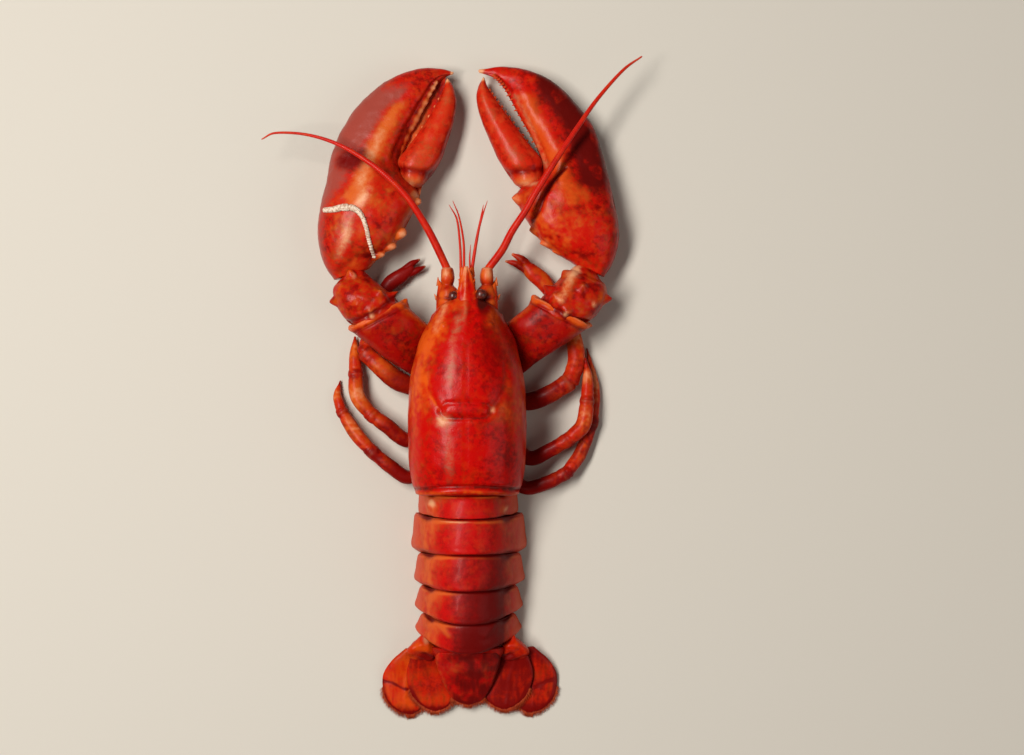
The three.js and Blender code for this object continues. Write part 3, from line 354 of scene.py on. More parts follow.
def group_of(name, colours=(), values=()):
    """A new shader group with named inputs. Returns it, its inputs and the place on the piece."""
    group = bpy.data.node_groups.new(name, "ShaderNodeTree")
    for socket in colours:
        group.interface.new_socket(socket, in_out="INPUT", socket_type="NodeSocketColor")
    for socket in values:
        group.interface.new_socket(socket, in_out="INPUT", socket_type="NodeSocketFloat")
    return group, knot(group, "NodeGroupInput").outputs, knot(group, "ShaderNodeTexCoord").outputs["Object"]


# The colour of a cooked shell: red, mottled with deeper red, and orange or cream where the masks of the
# skin say so, with borders that the mottles break up. A fourth mask and its colour paint shade on some
# pieces and a sheen on others, and the dark and cream masks carry some painted shade and painted
# highlights as well.
MASKS = {"orange": ("Orange", 7), "dark": ("Deep", 6), "dusk": ("Shade And Sheen", 5), "cream": ("Cream", 5)}
shell_colour, given, place = group_of("shell colour", ("Red", "Deep", "Orange", "Shade And Sheen", "Cream"),
                                      ("Mottling", "Mottle Size", "Warmth"))
shell_colour.interface.new_socket("Colour", in_out="OUTPUT", socket_type="NodeSocketColor")
shell_colour.interface.new_socket("Mottles", in_out="OUTPUT", socket_type="NodeSocketFloat")
tree = shell_colour
mottles = noise_of(tree, place, given["Mottle Size"], 5, Roughness=0.66)
clouds = noise_of(tree, place, 110, 2)
warm = noise_of(tree, place, 230, 4, Roughness=0.6)
grains = noise_of(tree, place, 1500, 2)
both = plus(tree, times(tree, mottles, 0.65), times(tree, clouds, 0.35))
drift = times(tree, less(tree, both, 0.5), given["Mottling"])
deeper = times(tree, times(tree, eased(tree, both, 0.46, 0.64), 0.75), given["Mottling"])
tone = mixed(tree, deeper, given["Red"], given["Deep"])
flecks = times(tree, eased(tree, warm, 0.46, 0.68), given["Warmth"])
tone = mixed(tree, flecks, tone, mixed(tree, 0.5, given["Red"], given["Orange"]))
for mask, (colour, breaks) in MASKS.items():
    stored = knot(tree, "ShaderNodeAttribute", attribute_name=mask).outputs["Fac"]
    open_part = times(tree, stored, less(tree, 1.0, stored))
    broken = plus(tree, stored, times(tree, times(tree, open_part, breaks), drift))
    tone = mixed(tree, eased(tree, broken, 0.05, 0.95), tone, given[colour])
dots = eased(tree, grains, 0.6, 0.75)
tone = mixed(tree, times(tree, dots, 0.14), tone, given["Deep"])
knot(tree, "NodeGroupOutput", {"Colour": tone, "Mottles": both})

# The fine relief of a shell: small pits where the bristles were, over a slightly uneven skin.
shell_relief, given, place = group_of("shell relief", values=("Pit Size", "Pit Depth"))
shell_relief.interface.new_socket("Height", in_out="OUTPUT", socket_type="NodeSocketFloat")
tree = shell_relief
cells = knot(tree, "ShaderNodeTexVoronoi", {"Vector": place, "Scale": given["Pit Size"]})
pits = times(tree, eased(tree, cells.outputs["Distance"], 0.0, 0.5), given["Pit Depth"])
uneven = plus(tree, times(tree, noise_of(tree, place, 700, 4), 0.3), noise_of(tree, place, 160, 2))
knot(tree, "NodeGroupOutput", {"Height": plus(tree, pits, uneven)})

# Cooked shell finishes: pure deep reds, as boiled shell has, under a thin wet gloss.
RED = (0.49, 0.002, 0.0008)
DEEP_RED = (0.20, 0.001, 0.0005)
ORANGE = (0.64, 0.078, 0.005)
# The colour of painted shade, for finishes that don't give their own.
PAINTED_SHADE = (0.17, 0.010, 0.006)
CREAM = (0.74, 0.35, 0.17)
PITS = {"Pit Size": 900, "Pit Depth": 0.35}
RELIEF_DEPTH = 0.0005
MOTTLE_GLOSS = 0.12
WET = {"Specular IOR Level": 0.11, "Coat Weight": 0.03, "Coat Roughness": 0.16}


def shell_finish(name, red=RED, deep=DEEP_RED, orange=ORANGE, dusk=PAINTED_SHADE, cream=CREAM,
                 mottling=0.7, mottle_size=420, warmth=0.45, gloss=0.26, bump=0.2):
    """A material of the shell, with its own colours and values."""
    finish = bpy.data.materials.new(name)
    finish.use_nodes = True
    tree = finish.node_tree
    bsdf = tree.nodes["Principled BSDF"]
    colours = {"Red": red, "Deep": deep, "Orange": orange, "Shade And Sheen": dusk, "Cream": cream}
    values = {"Mottling": mottling, "Mottle Size": mottle_size, "Warmth": warmth}
    colour = knot(tree, "ShaderNodeGroup", node_tree=shell_colour)
    for socket, value in colours.items():
        colour.inputs[socket].default_value = (*value, 1)
    for socket, value in values.items():
        colour.inputs[socket].default_value = value
    relief = knot(tree, "ShaderNodeGroup", node_tree=shell_relief)
    for socket, value in PITS.items():
        relief.inputs[socket].default_value = value
    bumped = knot(tree, "ShaderNodeBump",
                  {"Height": relief.outputs["Height"], "Strength": bump, "Distance": RELIEF_DEPTH})
    dull = knot(tree, "ShaderNodeMapRange",
                {"Value": colour.outputs["Mottles"], "From Min": 0.3, "From Max": 0.7,
                 "To Min": gloss, "To Max": gloss + MOTTLE_GLOSS})
    tree.links.new(colour.outputs["Colour"], bsdf.inputs["Base Color"])
    tree.links.new(dull.outputs["Result"], bsdf.inputs["Roughness"])
    tree.links.new(bumped.outputs["Normal"], bsdf.inputs["Normal"])
    for socket, value in WET.items():
        bsdf.inputs[socket].default_value = value
    return finish


def carapace_ring(turn, place):
    y = CARAPACE[0][0] + place * (CARAPACE[-1][0] - CARAPACE[0][0])
    width, height, low = read(CARAPACE, y)
    top = height * CARAPACE_HEIGHT
    waist = low + (top - low) * CARAPACE_WAIST
    rise = power(np.sin(turn), 2 / CARAPACE_ROUNDNESS)
    x = power(np.cos(turn), 2 / CARAPACE_ROUNDNESS) * width * CARAPACE_HALF_WIDTH
    z = rise * np.where(rise > 0, top - waist, waist - low)
    return columns(0, y, waist), columns(x, 0, z), columns(0 * x, 1, 0)


carapace = rolled(220, 210, carapace_ring, cap=0.012, dome=0.2)
spots, rise = marks_of(carapace, "rise")
x, y, z = spots.T
folded = np.column_stack([np.abs(x), y])
arc = y + REAR_CURVE * x * x
dents = 0.5 * groove(folded, NECK_FRONT, 1.2) + 0.85 * groove(folded, NECK_REAR, 1.3)
dents += 0.55 * groove(folded, NECK_SIDE, 1.6) * (1 - 0.75 * ease(y, 6, 24))
dents += 1.1 * bell(arc, REAR_GROOVE, 0.95)
dents += 0.25 * bell(x, 0, 0.6) * ease(y, -38, -34) * (1 - ease(y, -7, -3))
dents += 0.2 * bell(x, 0, 0.6) * ease(y, 0.5, 3) * (1 - ease(y, 20, 30))
swell = 0.6 * bell(arc, REAR_RIM, 1.1) + 0.34 * groove(folded, NECK_BAR, 2.2)
swell += 0.5 * bell(x, -0.6, 1.7) * ease(y, 20, 42)
swell += 0.35 * groove(folded, BEAK_ROOT, 1.6) * ease(y, 22, 36)
uneven = 0.22 * lumps(spots, 9, 1) + 0.1 * lumps(spots, 3.2, 2)
raised(carapace, (swell - dents) * ease(rise, -0.1, 0.2) + uneven)
for side in (-1, 1):
    for (root_x, *root), (tip_x, *tip), radius, sharp in CHEEK_SPINES:
        pulled(carapace, (side * root_x, *root), (side * tip_x, *tip), radius, sharp)

CARAPACE_GOLD = [
    [0.45, -19.5, 8, 5.5, 17, -3], [0.95, -15.5, 32, 4.5, 11, -22], [0.75, 12.5, 33, 3.6, 9, 22],
    [0.5, 15, -6, 7, 6], [0.3, -9, 33, 6, 10], [0.55, 20, 4, 4.5, 22],
]
NECK_GOLD = [[-11.6, -5], [-14.2, -1], [-16.6, 2.6], [-18, 6], [-18.4, 10]]
EYE_CORNER_GOLD = [0.9, 12.6, 39.6, 2.8, 5]
CARAPACE_SHADE = [
    [0.3, 18, -26, 9, 16], [0.25, 20, 14, 5, 14], [1.5, 7.0, 44.6, 2.2, 3.0], [0.5, -6.4, 45.4, 1.6, 1.6],
]
CARAPACE_DEEP_SHADE = [[0.45, 6, 24, 8, 12], [1.0, 7.6, 43.4, 3.2, 4.2]]
DOME_HIGHLIGHT = [[-3.8, 37], [-6.2, 22], [-7.4, 8]]
REAR_HIGHLIGHT = [1, -7.6, -24, 2.8, 13]
BROW_STREAK = [[-10, 43], [-12.6, 37], [-14.4, 32.4]]
NECK_SPOTS_AND_HIGHLIGHT = [[0.68, -10.8, -9, 3.4, 3.0, 30], [0.45, 12, -4.2, 1.5, 1.8]]
spots, rise = marks_of(carapace, "rise")
x, y, z = spots.T
folded = np.column_stack([np.abs(x), y])
arc = y + REAR_CURVE * x * x
orange = patches(spots, CARAPACE_GOLD) + 0.5 * groove(spots, NECK_GOLD, 0.8)
# The left margin is painted more orange than the right: partly the shell's own orange, partly painted light
# from the left.
orange += (0.46 - 0.12 * ease(-y, 8, 20)) * ease(-x, 12, 25) + 0.4 * ease(x, 21.5, 26.5)
orange += 0.2 * bell(x, -1, 1.6) * (rise > 0) + 0.65 * bell(arc, -41.4, 1.2) + 0.9 * (rise < -0.35)
orange = np.clip(orange, 0, 1) * (0.74 + 0.5 * lumps(spots, 7, 7) + 0.5 * lumps(spots, 2.4, 8))
orange += 0.45 * ease(y, 38, 45) * (0.5 - 0.5 * np.tanh(x / 3)) + patches(spots, [EYE_CORNER_GOLD])
# Painted shade: on the right flank, under both eyes, and in the grooves behind the neck and before the rear
# rim.
dusk = patches(spots, CARAPACE_SHADE) + 0.6 * bell(arc, REAR_GROOVE, 0.8)
dusk += 0.5 * groove(folded, NECK_REAR, 0.8) + 0.3 * groove(folded, NECK_FRONT, 0.6)
# Painted shade: the right half darker, and a deep shadow under the right eye.
dark = 0.5 * ease(x, 2, 15) * (1 - ease(x, 19, 25)) + patches(spots, CARAPACE_DEEP_SHADE)
# Painted highlights: streaks down the dome and behind it, and a line along the middle towards the beak. The
# pale spots at the ends of the neck groove are partly pale shell and partly painted highlight.
cream = 0.27 * (groove(spots, DOME_HIGHLIGHT, 2.4) + patches(spots, [REAR_HIGHLIGHT])) * (rise > 0)
cream += 0.38 * groove(spots, BROW_STREAK, 2.2) + 0.2 * bell(x, -0.7, 1.5) * ease(y, 22, 42)
cream += patches(spots, NECK_SPOTS_AND_HIGHLIGHT) + 0.6 * (rise < -0.6)
painted(carapace, orange=orange, dusk=dusk, dark=dark, cream=cream)


def numbered(rows):
    """A table that is read by the number of its row."""
    return [[number, *row] for number, row in enumerate(rows)]


def row_at(rows, number):
    """The values at one place of a table, between its rows too."""
    return read(numbered(rows), [number])[:, 0]


def way_ahead(table, at):
    """How the values of a table change over a short step along it."""
    step = 0.1
    return read(table, at + step) - read(table, at - step)


def flat_ring(rows, square=2.3, waist=0.44):
    """Rings of a flattened piece. Each row is the left and right edge seen from above, and the highest
    and lowest level."""
    table = numbered(rows)

    def ring(turn, place):
        at = place * (len(rows) - 1)
        left_x, left_y, right_x, right_y, top, low = read(table, at)
        middle = low + (top - low) * waist
        change = way_ahead(table, at)
        ahead = columns(change[0] + change[2], change[1] + change[3], 0)
        ahead /= np.linalg.norm(ahead, axis=1)[:, None]
        across = power(np.cos(turn), 2 / square) / 2
        rise = power(np.sin(turn), 2 / square)
        reach = columns(across * (right_x - left_x), across * (right_y - left_y),
                        rise * np.where(rise > 0, top - middle, middle - low))
        return columns((left_x + right_x) / 2, (left_y + right_y) / 2, middle), reach, ahead
    return ring


def limb_ring(rows, scale=1.0):
    """Rings of a round limb. Each row is a point of the middle line, half the width, half the height."""
    table = numbered(rows)

    def ring(turn, place):
        at = place * (len(rows) - 1)
        x, y, z, wide, high = read(table, at)
        ahead = way_ahead(table, at)[:3].T
        ahead /= np.linalg.norm(ahead, axis=1)[:, None]
        side = np.cross(ahead, (0, 0, 1))
        side /= np.linalg.norm(side, axis=1)[:, None]
        up = np.cross(side, ahead)
        reach = side * (np.cos(turn) * wide * scale)[:, None] + up * (np.sin(turn) * high * scale)[:, None]
        return columns(x, y, z), reach, ahead
    return ring


def added(skin, part):
    """Put a second skin into a piece, as one mesh."""
    carrier = bpy.data.meshes.new("carrier")
    part.to_mesh(carrier)
    part.free()
    skin.from_mesh(carrier)
    bpy.data.meshes.remove(carrier)


BEAK = [
    [-8, 27, 8, 27, 35, 30], [-6.4, 36, 6.4, 36, 35.8, 30], [-5, 45, 5, 45, 36.7, 30.6],
    [-4, 51, 4, 51, 36.3, 31.2], [-2.4, 57, 2.4, 57, 35.6, 32.2], [-0.6, 60.6, 0.6, 60.6, 34.9, 33.8],
]
BEAK_SPINES = [[4, 48.6, 34.8], [3.2, 53.6, 34.6]]
beak = rolled(64, 110, flat_ring(BEAK), cap=0.02, dome=0.6)
spots, across, rise = marks_of(beak, "across", "rise")
outward = np.abs(across)
ridges = 0.4 * bell(spots[:, 0], -0.6, 1.2) + 0.2 * bell(outward, 0.86, 0.2)
ridges -= 0.25 * bell(outward, 0.45, 0.25)
raised(beak, ridges * (rise > 0) * ease(spots[:, 1], 45, 51) + 0.1 * lumps(spots, 2.4, 3))
spots, across, rise = marks_of(beak, "across", "rise")
x, y, z = spots.T
# A pale line along the ridge, just left of the middle, is a painted highlight.
painted(beak,
        orange=0.45 * ease(np.abs(across), 0.4, 0.9) + 0.5 * (rise < 0) + 0.3 * ease(y, 48, 60)
        + 0.3 * lumps(spots, 2, 5) + 0.4 * bell(x, -1.2, 1.6),
        cream=0.3 * bell(x, -0.8, 0.9) * (rise > 0) + 0.3 * ease(y, 57, 61))
for x, y, z in BEAK_SPINES:
    for side in (-1, 1):
        spike(beak, (side * (x - 1.2), y - 1.4, z - 1.2), (side * (x + 0.7), y + 2.0, z + 0.4), 0.9,
              orange=0.7, cream=0.15)
added(carapace, beak)
# The near-black brown of this shell is the colour of its painted shade.
carapace_finish = shell_finish("carapace shell", dusk=(0.07, 0.005, 0.003), mottling=1.0, warmth=0.2)
shown("carapace_shell", carapace, carapace_finish, "carapace")


# Eyes: a dark glossy ball on a short red stalk at each side of the beak. Boiling leaves them almost
# black; the surface of each is a field of tiny facets.
EYES = {"left": (-6.2, 47.9, 33, 2.1), "right": (6.5, 48.6, 33, 2.5)}
EYE_STALK = [[-2.4, 44.6, 31, 1.7, 1.7], [-3.6, 46.4, 32, 1.5, 1.6]]
EYE_BLACK = (0.030, 0.004, 0.002, 1)
EYE_BROWN = (0.16, 0.020, 0.010, 1)
EYE_GLOSS = {"Roughness": 0.36, "Coat Weight": 0.3, "Coat Roughness": 0.24}
FACET_DEPTH = 0.0002
SIDES = (("left", -1), ("right", 1))


def turned_limb(rows, side):
    """Rows of a limb, mirrored for the right side."""
    return rows if side < 0 else [[-x, *rest] for x, *rest in rows]


def finish_of(name):
    """A new material. Returns it, its tree and the place on the piece."""
    finish = bpy.data.materials.new(name)
    finish.use_nodes = True
    return finish, finish.node_tree, knot(finish.node_tree, "ShaderNodeTexCoord").outputs["Object"]


def dressed(tree, tone, relief, strength, depth, gloss):
    """Give a material its colour, its relief and its gloss."""
    bumped = knot(tree, "ShaderNodeBump", {"Height": relief, "Strength": strength, "Distance": depth})
    bsdf = tree.nodes["Principled BSDF"]
    tree.links.new(tone, bsdf.inputs["Base Color"])
    tree.links.new(bumped.outputs["Normal"], bsdf.inputs["Normal"])
    for socket, value in gloss.items():
        bsdf.inputs[socket].default_value = value


eye_finish, tree, place = finish_of("eye")
facets = knot(tree, "ShaderNodeTexVoronoi", {"Vector": place, "Scale": 2600}).outputs["Distance"]
shade = eased(tree, noise_of(tree, place, 420, 3), 0.35, 0.7)
dressed(tree, mixed(tree, shade, EYE_BLACK, EYE_BROWN), facets, 0.25, FACET_DEPTH, EYE_GLOSS)

for word, side in SIDES:
    x, y, z, radius = EYES[word]
    stalk = [*turned_limb(EYE_STALK, side), [x - side * 0.6, y - 0.2, z, 1.9, 1.9]]
    eye = rolled(28, 26, limb_ring(stalk), cap=0.12, dome=0.5)
    bmesh.ops.create_icosphere(eye, subdivisions=4, radius=radius, matrix=Matrix.Translation((x, y, z)))
    shown(f"eye_ball_{word}", eye, eye_finish, f"eye_{word}")


# Feelers: each long one stands on a thick jointed base with a pointed scale beside it, and tapers out
# in hundreds of tiny rings. Between them are the short pair, a jointed stem with thin whips.
FEELER_BASE = [
    [-13.6, 40.4, -3.4, 41.6, 30.6, 19.6], [-13.4, 46, -3.2, 46, 30.4, 19.8],
    [-13, 50.4, -4.4, 50.8, 29.6, 20.2], [-12.1, 53.2, -6, 53.4, 28.6, 20.6],
    [-12.2, 56.6, -5.8, 56.8, 29.2, 20.8], [-11.8, 60.4, -6.6, 60.6, 28.6, 21.8],
]
FEELER_CREASES = (53.4, 47)
FEELER_ORBIT_SHADE = {"left": [0.6, -6.8, 46.8, 2.2, 3.4], "right": [1.1, 6.8, 46.8, 3.0, 3.4]}
FEELER_ORBIT_SHADOW = {"left": [0.55, -7.4, 47, 3.2, 4.4], "right": [0.95, 7.4, 47, 3.2, 4.4]}
FEELER_SCALE = [
    [-14.4, 41, -9.4, 41, 27.6, 21], [-14.2, 47.8, -9, 47.8, 27.4, 21.6],
    [-13.6, 52.2, -10.6, 52.2, 26.4, 22.2], [-13.4, 55, -12.4, 55, 24.6, 23.4],
]
SCALE_SPINES = [
    [(13.3, 53, 24), (13.5, 57, 24.4), 1.1], [(13.9, 46.6, 24), (15.2, 49.2, 24.4), 0.9],
    [(10.6, 51.8, 25), (9.9, 54.8, 26), 0.8],
]
LONG_FEELERS = {
    "left": [
        [-9.2, 60.6, 25.2, 1, 1], [-14.1, 71.1, 27, 1, 1], [-19.1, 80.6, 29, 0.94, 0.94],
        [-27.4, 93.2, 31, 0.84, 0.84], [-38.4, 104.2, 31.4, 0.74, 0.74], [-51.3, 113.4, 29.6, 0.6, 0.6],
        [-63.1, 119.4, 27, 0.48, 0.48], [-75.9, 123, 24, 0.38, 0.38], [-89.1, 123.9, 20.6, 0.3, 0.3],
        [-95.3, 121.4, 18.8, 0.18, 0.18],
    ],
    "right": [
        [9.6, 60.6, 25.2, 1, 1], [16.1, 69.2, 27, 1, 1], [20.7, 77.8, 28.4, 0.94, 0.94],
        [26.7, 86.9, 29.4, 0.88, 0.88], [31.7, 95.7, 29.6, 0.84, 0.84], [41.3, 111.1, 28.6, 0.76, 0.76],
        [50.6, 125.4, 26.4, 0.66, 0.66], [60.2, 139.3, 24, 0.52, 0.52], [72.1, 152.9, 21.4, 0.4, 0.4],
        [80.7, 159.4, 19.6, 0.22, 0.22],
    ],
}
FEELER_HALF_WIDTH = 1.85
FEELER_RINGS = 150
SHORT_STEM = [[-2.4, 47.2, 27.4, 1.7, 1.5], [-2.2, 55, 28, 1.6, 1.4], [-2, 60.8, 28.4, 1.3, 1.2]]
SHORT_WHIPS = {
    "left": [
        [[-2.8, 59.9, 28.2, 0.7, 0.7], [-3.1, 70.5, 29.6, 0.6, 0.6], [-4.5, 82.7, 31.4, 0.48, 0.48],
         [-8, 89.4, 32.6, 0.18, 0.18]],
        [[-1.4, 59.8, 28.6, 0.7, 0.7], [-1.5, 72.4, 30.6, 0.56, 0.56], [-3.5, 83.9, 32.8, 0.42, 0.42],
         [-6.3, 91.1, 34.4, 0.18, 0.18]],
    ],
    "right": [
        [[1.4, 59.8, 28.8, 0.5, 0.5], [1.3, 65.6, 29.8, 0.4, 0.4], [1.7, 71.3, 30.8, 0.15, 0.15]],
        [[2.2, 59.9, 28.2, 0.85, 0.85], [4.4, 73.4, 29.8, 0.74, 0.74], [6.6, 84.1, 31.2, 0.5, 0.5],
         [7.6, 89.5, 31.8, 0.16, 0.16]],
        [[5.9, 80.2, 30.7, 0.5, 0.5], [7.6, 85.9, 32, 0.36, 0.36], [9.4, 91.2, 33.2, 0.15, 0.15]],
    ],
}
WHIP_RINGS = 50


def turned(rows, side):
    """Rows of a flattened piece, mirrored for the right side."""
    return rows if side < 0 else [[-c, d, -a, b, top, low] for a, b, c, d, top, low in rows]


def ringed(along, count):
    """0 to 1 and back for each of the tiny rings along a feeler."""
    return 0.5 + 0.5 * np.cos(2 * np.pi * count * along)


feeler_base_finish = shell_finish("feeler base shell", red=(0.50, 0.02, 0.003), orange=(0.64, 0.10, 0.010),
                                  dusk=(0.07, 0.004, 0.002), mottling=0.9, gloss=0.34)
feeler_finish = shell_finish("feeler shell", red=(0.56, 0.012, 0.005), mottling=0.4, bump=0.1)
for word, side in SIDES:
    base = rolled(48, 90, flat_ring(turned(FEELER_BASE, side)), cap=0.05, dome=1.0)
    spots, along, rise = marks_of(base, "along", "rise")
    y = spots[:, 1]
    front, rear = FEELER_CREASES
    raised(base, 0.25 * lumps(spots, 3.2, 4) - 0.45 * bell(y, front, 0.9) - 0.4 * bell(y, rear, 0.7))
    # Painted shade under each eye, and a painted highlight on the top of the end segment.
    painted(base,
            orange=0.75 * bell(along, 0.9, 0.18) + 0.4 * (rise < 0)
            + (0.5 + 0.7 * lumps(spots, 3, 5)) * bell(along, 0.3, 0.35),
            dusk=patches(spots, [FEELER_ORBIT_SHADE[word]]),
            cream=0.6 * patch(spots, side * 9.8, 58.4, 2.2, 2.2) + 0.45 * bell(y, 61, 0.9),
            dark=0.35 * bell(y, front, 0.7) + 0.3 * bell(y, rear, 0.6) + patches(spots, [FEELER_ORBIT_SHADOW[word]]))
    scale = rolled(40, 60, flat_ring(turned(FEELER_SCALE, side), waist=0.5), cap=0.04, dome=0.5)
    along = marks_of(scale, "along")[1]
    painted(scale, orange=0.2 + 0.5 * bell(along, 0.9, 0.3), dark=0.35 * bell(along, 0.3, 0.2))
    for (root_x, *root), (tip_x, *tip), radius in SCALE_SPINES:
        spike(scale, (side * root_x, *root), (side * tip_x, *tip), radius, orange=0.8, cream=0.3)
    added(base, scale)
    shown(f"feeler_foot_{word}", base, feeler_base_finish, f"feeler_base_{word}")

    feeler = rolled(14, 600, limb_ring(LONG_FEELERS[word], FEELER_HALF_WIDTH), cap=0.004, dome=0.6)
    along = marks_of(feeler, "along")[1]
    ripple = ringed(along, FEELER_RINGS)
    raised(feeler, -0.09 * ripple * (1 - 0.75 * along))
    # The tiny rings are painted darker in their grooves, as shade.
    painted(feeler, orange=0.45 * bell(along, 0.0, 0.03) + 0.25 * ease(along, 0.5, 1), dusk=0.25 * ripple,
            cream=0.25 * ease(along, 0.86, 1))
    shown(f"long_feeler_{word}", feeler, feeler_finish, f"antenna_{word}")

    short = rolled(24, 60, limb_ring(turned_limb(SHORT_STEM, side)), cap=0.05, dome=0.6)
    spots, along = marks_of(short, "along")
    raised(short, -0.25 * (bell(spots[:, 1], 51.5, 0.7) + bell(spots[:, 1], 56.4, 0.6)))
    painted(short, orange=0.5 + 0.4 * bell(along, 1, 0.3))
    for rows in SHORT_WHIPS[word]:
        whip = rolled(10, 160, limb_ring(rows), cap=0.01, dome=0.3)
        along = marks_of(whip, "along")[1]
        raised(whip, -0.05 * ringed(along, WHIP_RINGS))
        painted(whip, orange=0.2, cream=0.2 * ease(along, 0.7, 1))
        added(short, whip)
    shown(f"short_feeler_{word}", short, feeler_finish, f"small_feeler_{word}")


# Mouth and breast: the jaw legs fold forward under the head, and the breastplate below the body is one
# row of pale hard plates. Its flat keel is what the lobster lies on.
JAW_LEG = [
    [-3.4, 29, 5.4, 2.7, 2.6], [-4.4, 36, 9, 2.9, 2.8], [-4.6, 43, 14, 2.6, 2.6],
    [-3.4, 49.4, 19.6, 1.6, 1.7],
]
JAW_JOINTS = ((0.36, 0.5), (0.66, 0.45), (0.86, 0.4))
JAW_THORNS = np.arange(0.9, 2.8, 0.225)
BREASTPLATE = [[-41.6, 4.2], [-37, 8], [-20, 9.2], [14, 8], [24, 6.6], [27, 4.6]]
BREAST_MIDDLE = 4.2
PLATE_SEAMS = (16, 5, -6.5, -18, -29)
KEEL_HALF_WIDTH = 4
belly_finish = shell_finish("belly shell", red=(0.62, 0.12, 0.03), deep=(0.42, 0.05, 0.012),
                            orange=(0.66, 0.17, 0.03), cream=(0.78, 0.45, 0.22), mottling=0.8)
for word, side in SIDES:
    jaw = rolled(32, 90, limb_ring(turned_limb(JAW_LEG, side)), cap=0.04, dome=1.2)
    spots, along = marks_of(jaw, "along")
    creases = sum(depth * bell(along, at, 0.02) for at, depth in JAW_JOINTS)
    raised(jaw, 0.12 * lumps(spots, 2.5, 6) - creases + 0.25 * bell(along, 0.5, 0.1))
    painted(jaw, orange=0.7, cream=0.4 * bell(along, 0.5, 0.12), dark=0.4 * creases)
    for at in JAW_THORNS:
        x, y, z, wide = row_at(JAW_LEG, at)[:4]
        spike(jaw, (-side * (x + 0.8 * wide), y, z), (-side * (x + wide + 0.9), y + 0.9, z + 0.2), 0.4,
              sides=6, cream=0.8)
    shown(f"jaw_limb_{word}", jaw, belly_finish, f"jaw_leg_{word}")


def breastplate_ring(turn, place):
    y = BREASTPLATE[0][0] + place * (BREASTPLATE[-1][0] - BREASTPLATE[0][0])
    half = read(BREASTPLATE, y)[0]
    lift = BREAST_MIDDLE * power(np.sin(turn), 0.7)
    keel = np.minimum(KEEL_HALF_WIDTH, half * 0.6)
    x = power(np.cos(turn), 0.7) * (keel + (half - keel) * ease(BREAST_MIDDLE + lift, -1, 5))
    return columns(0, y, BREAST_MIDDLE), columns(x, 0, lift), columns(0 * x, 1, 0)


breast = rolled(72, 150, breastplate_ring, cap=0.02, dome=0.6)
x, y, z = marks_of(breast)[0].T
seams = sum(bell(y + 0.22 * np.abs(x), seam, 0.55) for seam in PLATE_SEAMS)
raised(breast, -0.5 * seams * ease(z, 0.2, 1.6))
rise = marks_of(breast, "rise")[1]
painted(breast, orange=0.5 * seams, cream=0.6 * (1 - seams) * ease(-rise, -0.2, 0.6), dark=0.25 * seams)
shown("breastplate", breast, belly_finish, "underbody")


# Tail: six overlapping rings of shell. Each is an arch with a pointed plate down each side, closed
# below by a thin belly skin. The front edge of a ring slides under the rear edge of the one before, and
# rings two to five carry a pair of soft paddles below.
TAIL_HALF_WIDTH = 27.3
TAIL_HEIGHT = 38.5
TAIL_RINGS = [
    {"back": (-43.1, -53.7), "sides": (-43.1, -52.7), "top": (0.96, 0.99), "wide": (0.84, 0.865, 0.855),
     "low": 3.2, "aside": 0, "shade": 0},
    {"back": (-53.9, -69.9), "sides": (-52.9, -72.0), "top": (0.97, 0.97), "wide": (0.93, 0.995, 0.87),
     "low": 0, "aside": 0.3, "shade": 0.08},
    {"back": (-70.1, -86.9), "sides": (-72.3, -87.0), "top": (0.92, 0.91), "wide": (0.87, 0.955, 0.83),
     "low": 0, "aside": 0.5, "shade": 0.45},
    {"back": (-87.1, -102.4), "sides": (-87.3, -99.4), "top": (0.86, 0.83), "wide": (0.82, 0.93, 0.785),
     "low": 0, "aside": 0.2, "shade": 0.75},
    {"back": (-102.6, -116.6), "sides": (-100, -109.6), "top": (0.79, 0.69), "wide": (0.78, 0.915, 0.75),
     "low": 0, "aside": 0, "shade": 0.95},
]
BELLY_LEVEL = 7.4
BACK_LEVEL = 12
PLATE_THICKNESS = 2.2
PLATE_INSET = 2.6 * PLATE_THICKNESS
PLATE_EDGE_SHARE = 0.1
PLATE_SHARE = 0.28
ARCH_SHARE = 0.62
PADDLE_PLACE = 13
FIRST_RING_KNOBS = [
    [0.9, -17.2, -48.4, 1.9, 2.6], [0.7, 18.2, -49.4, 1.5, 2.2], [-0.6, -13.2, -48.4, 1.4, 3.4],
]
FIRST_RING_CHALK = [[0.8, -16.0, -47.4, 1.5, 2.0, 20], [0.56, 17.6, -50, 1.0, 1.8, -20]]
FIFTH_RING_FOLD = [[12.6, -103], [8.4, -108.4]]
LAST_RING = [
    [-16.8, -115.6, 16.8, -115.6, 22, 4], [-16.4, -118.4, 16.4, -118.4, 19.6, 4],
    [-15, -120.9, 15, -120.9, 15.6, 4],
]


def between(ends, place):
    """From the first end to the last as the place goes from 0 to 1."""
    return ends[0] + place * (ends[1] - ends[0])


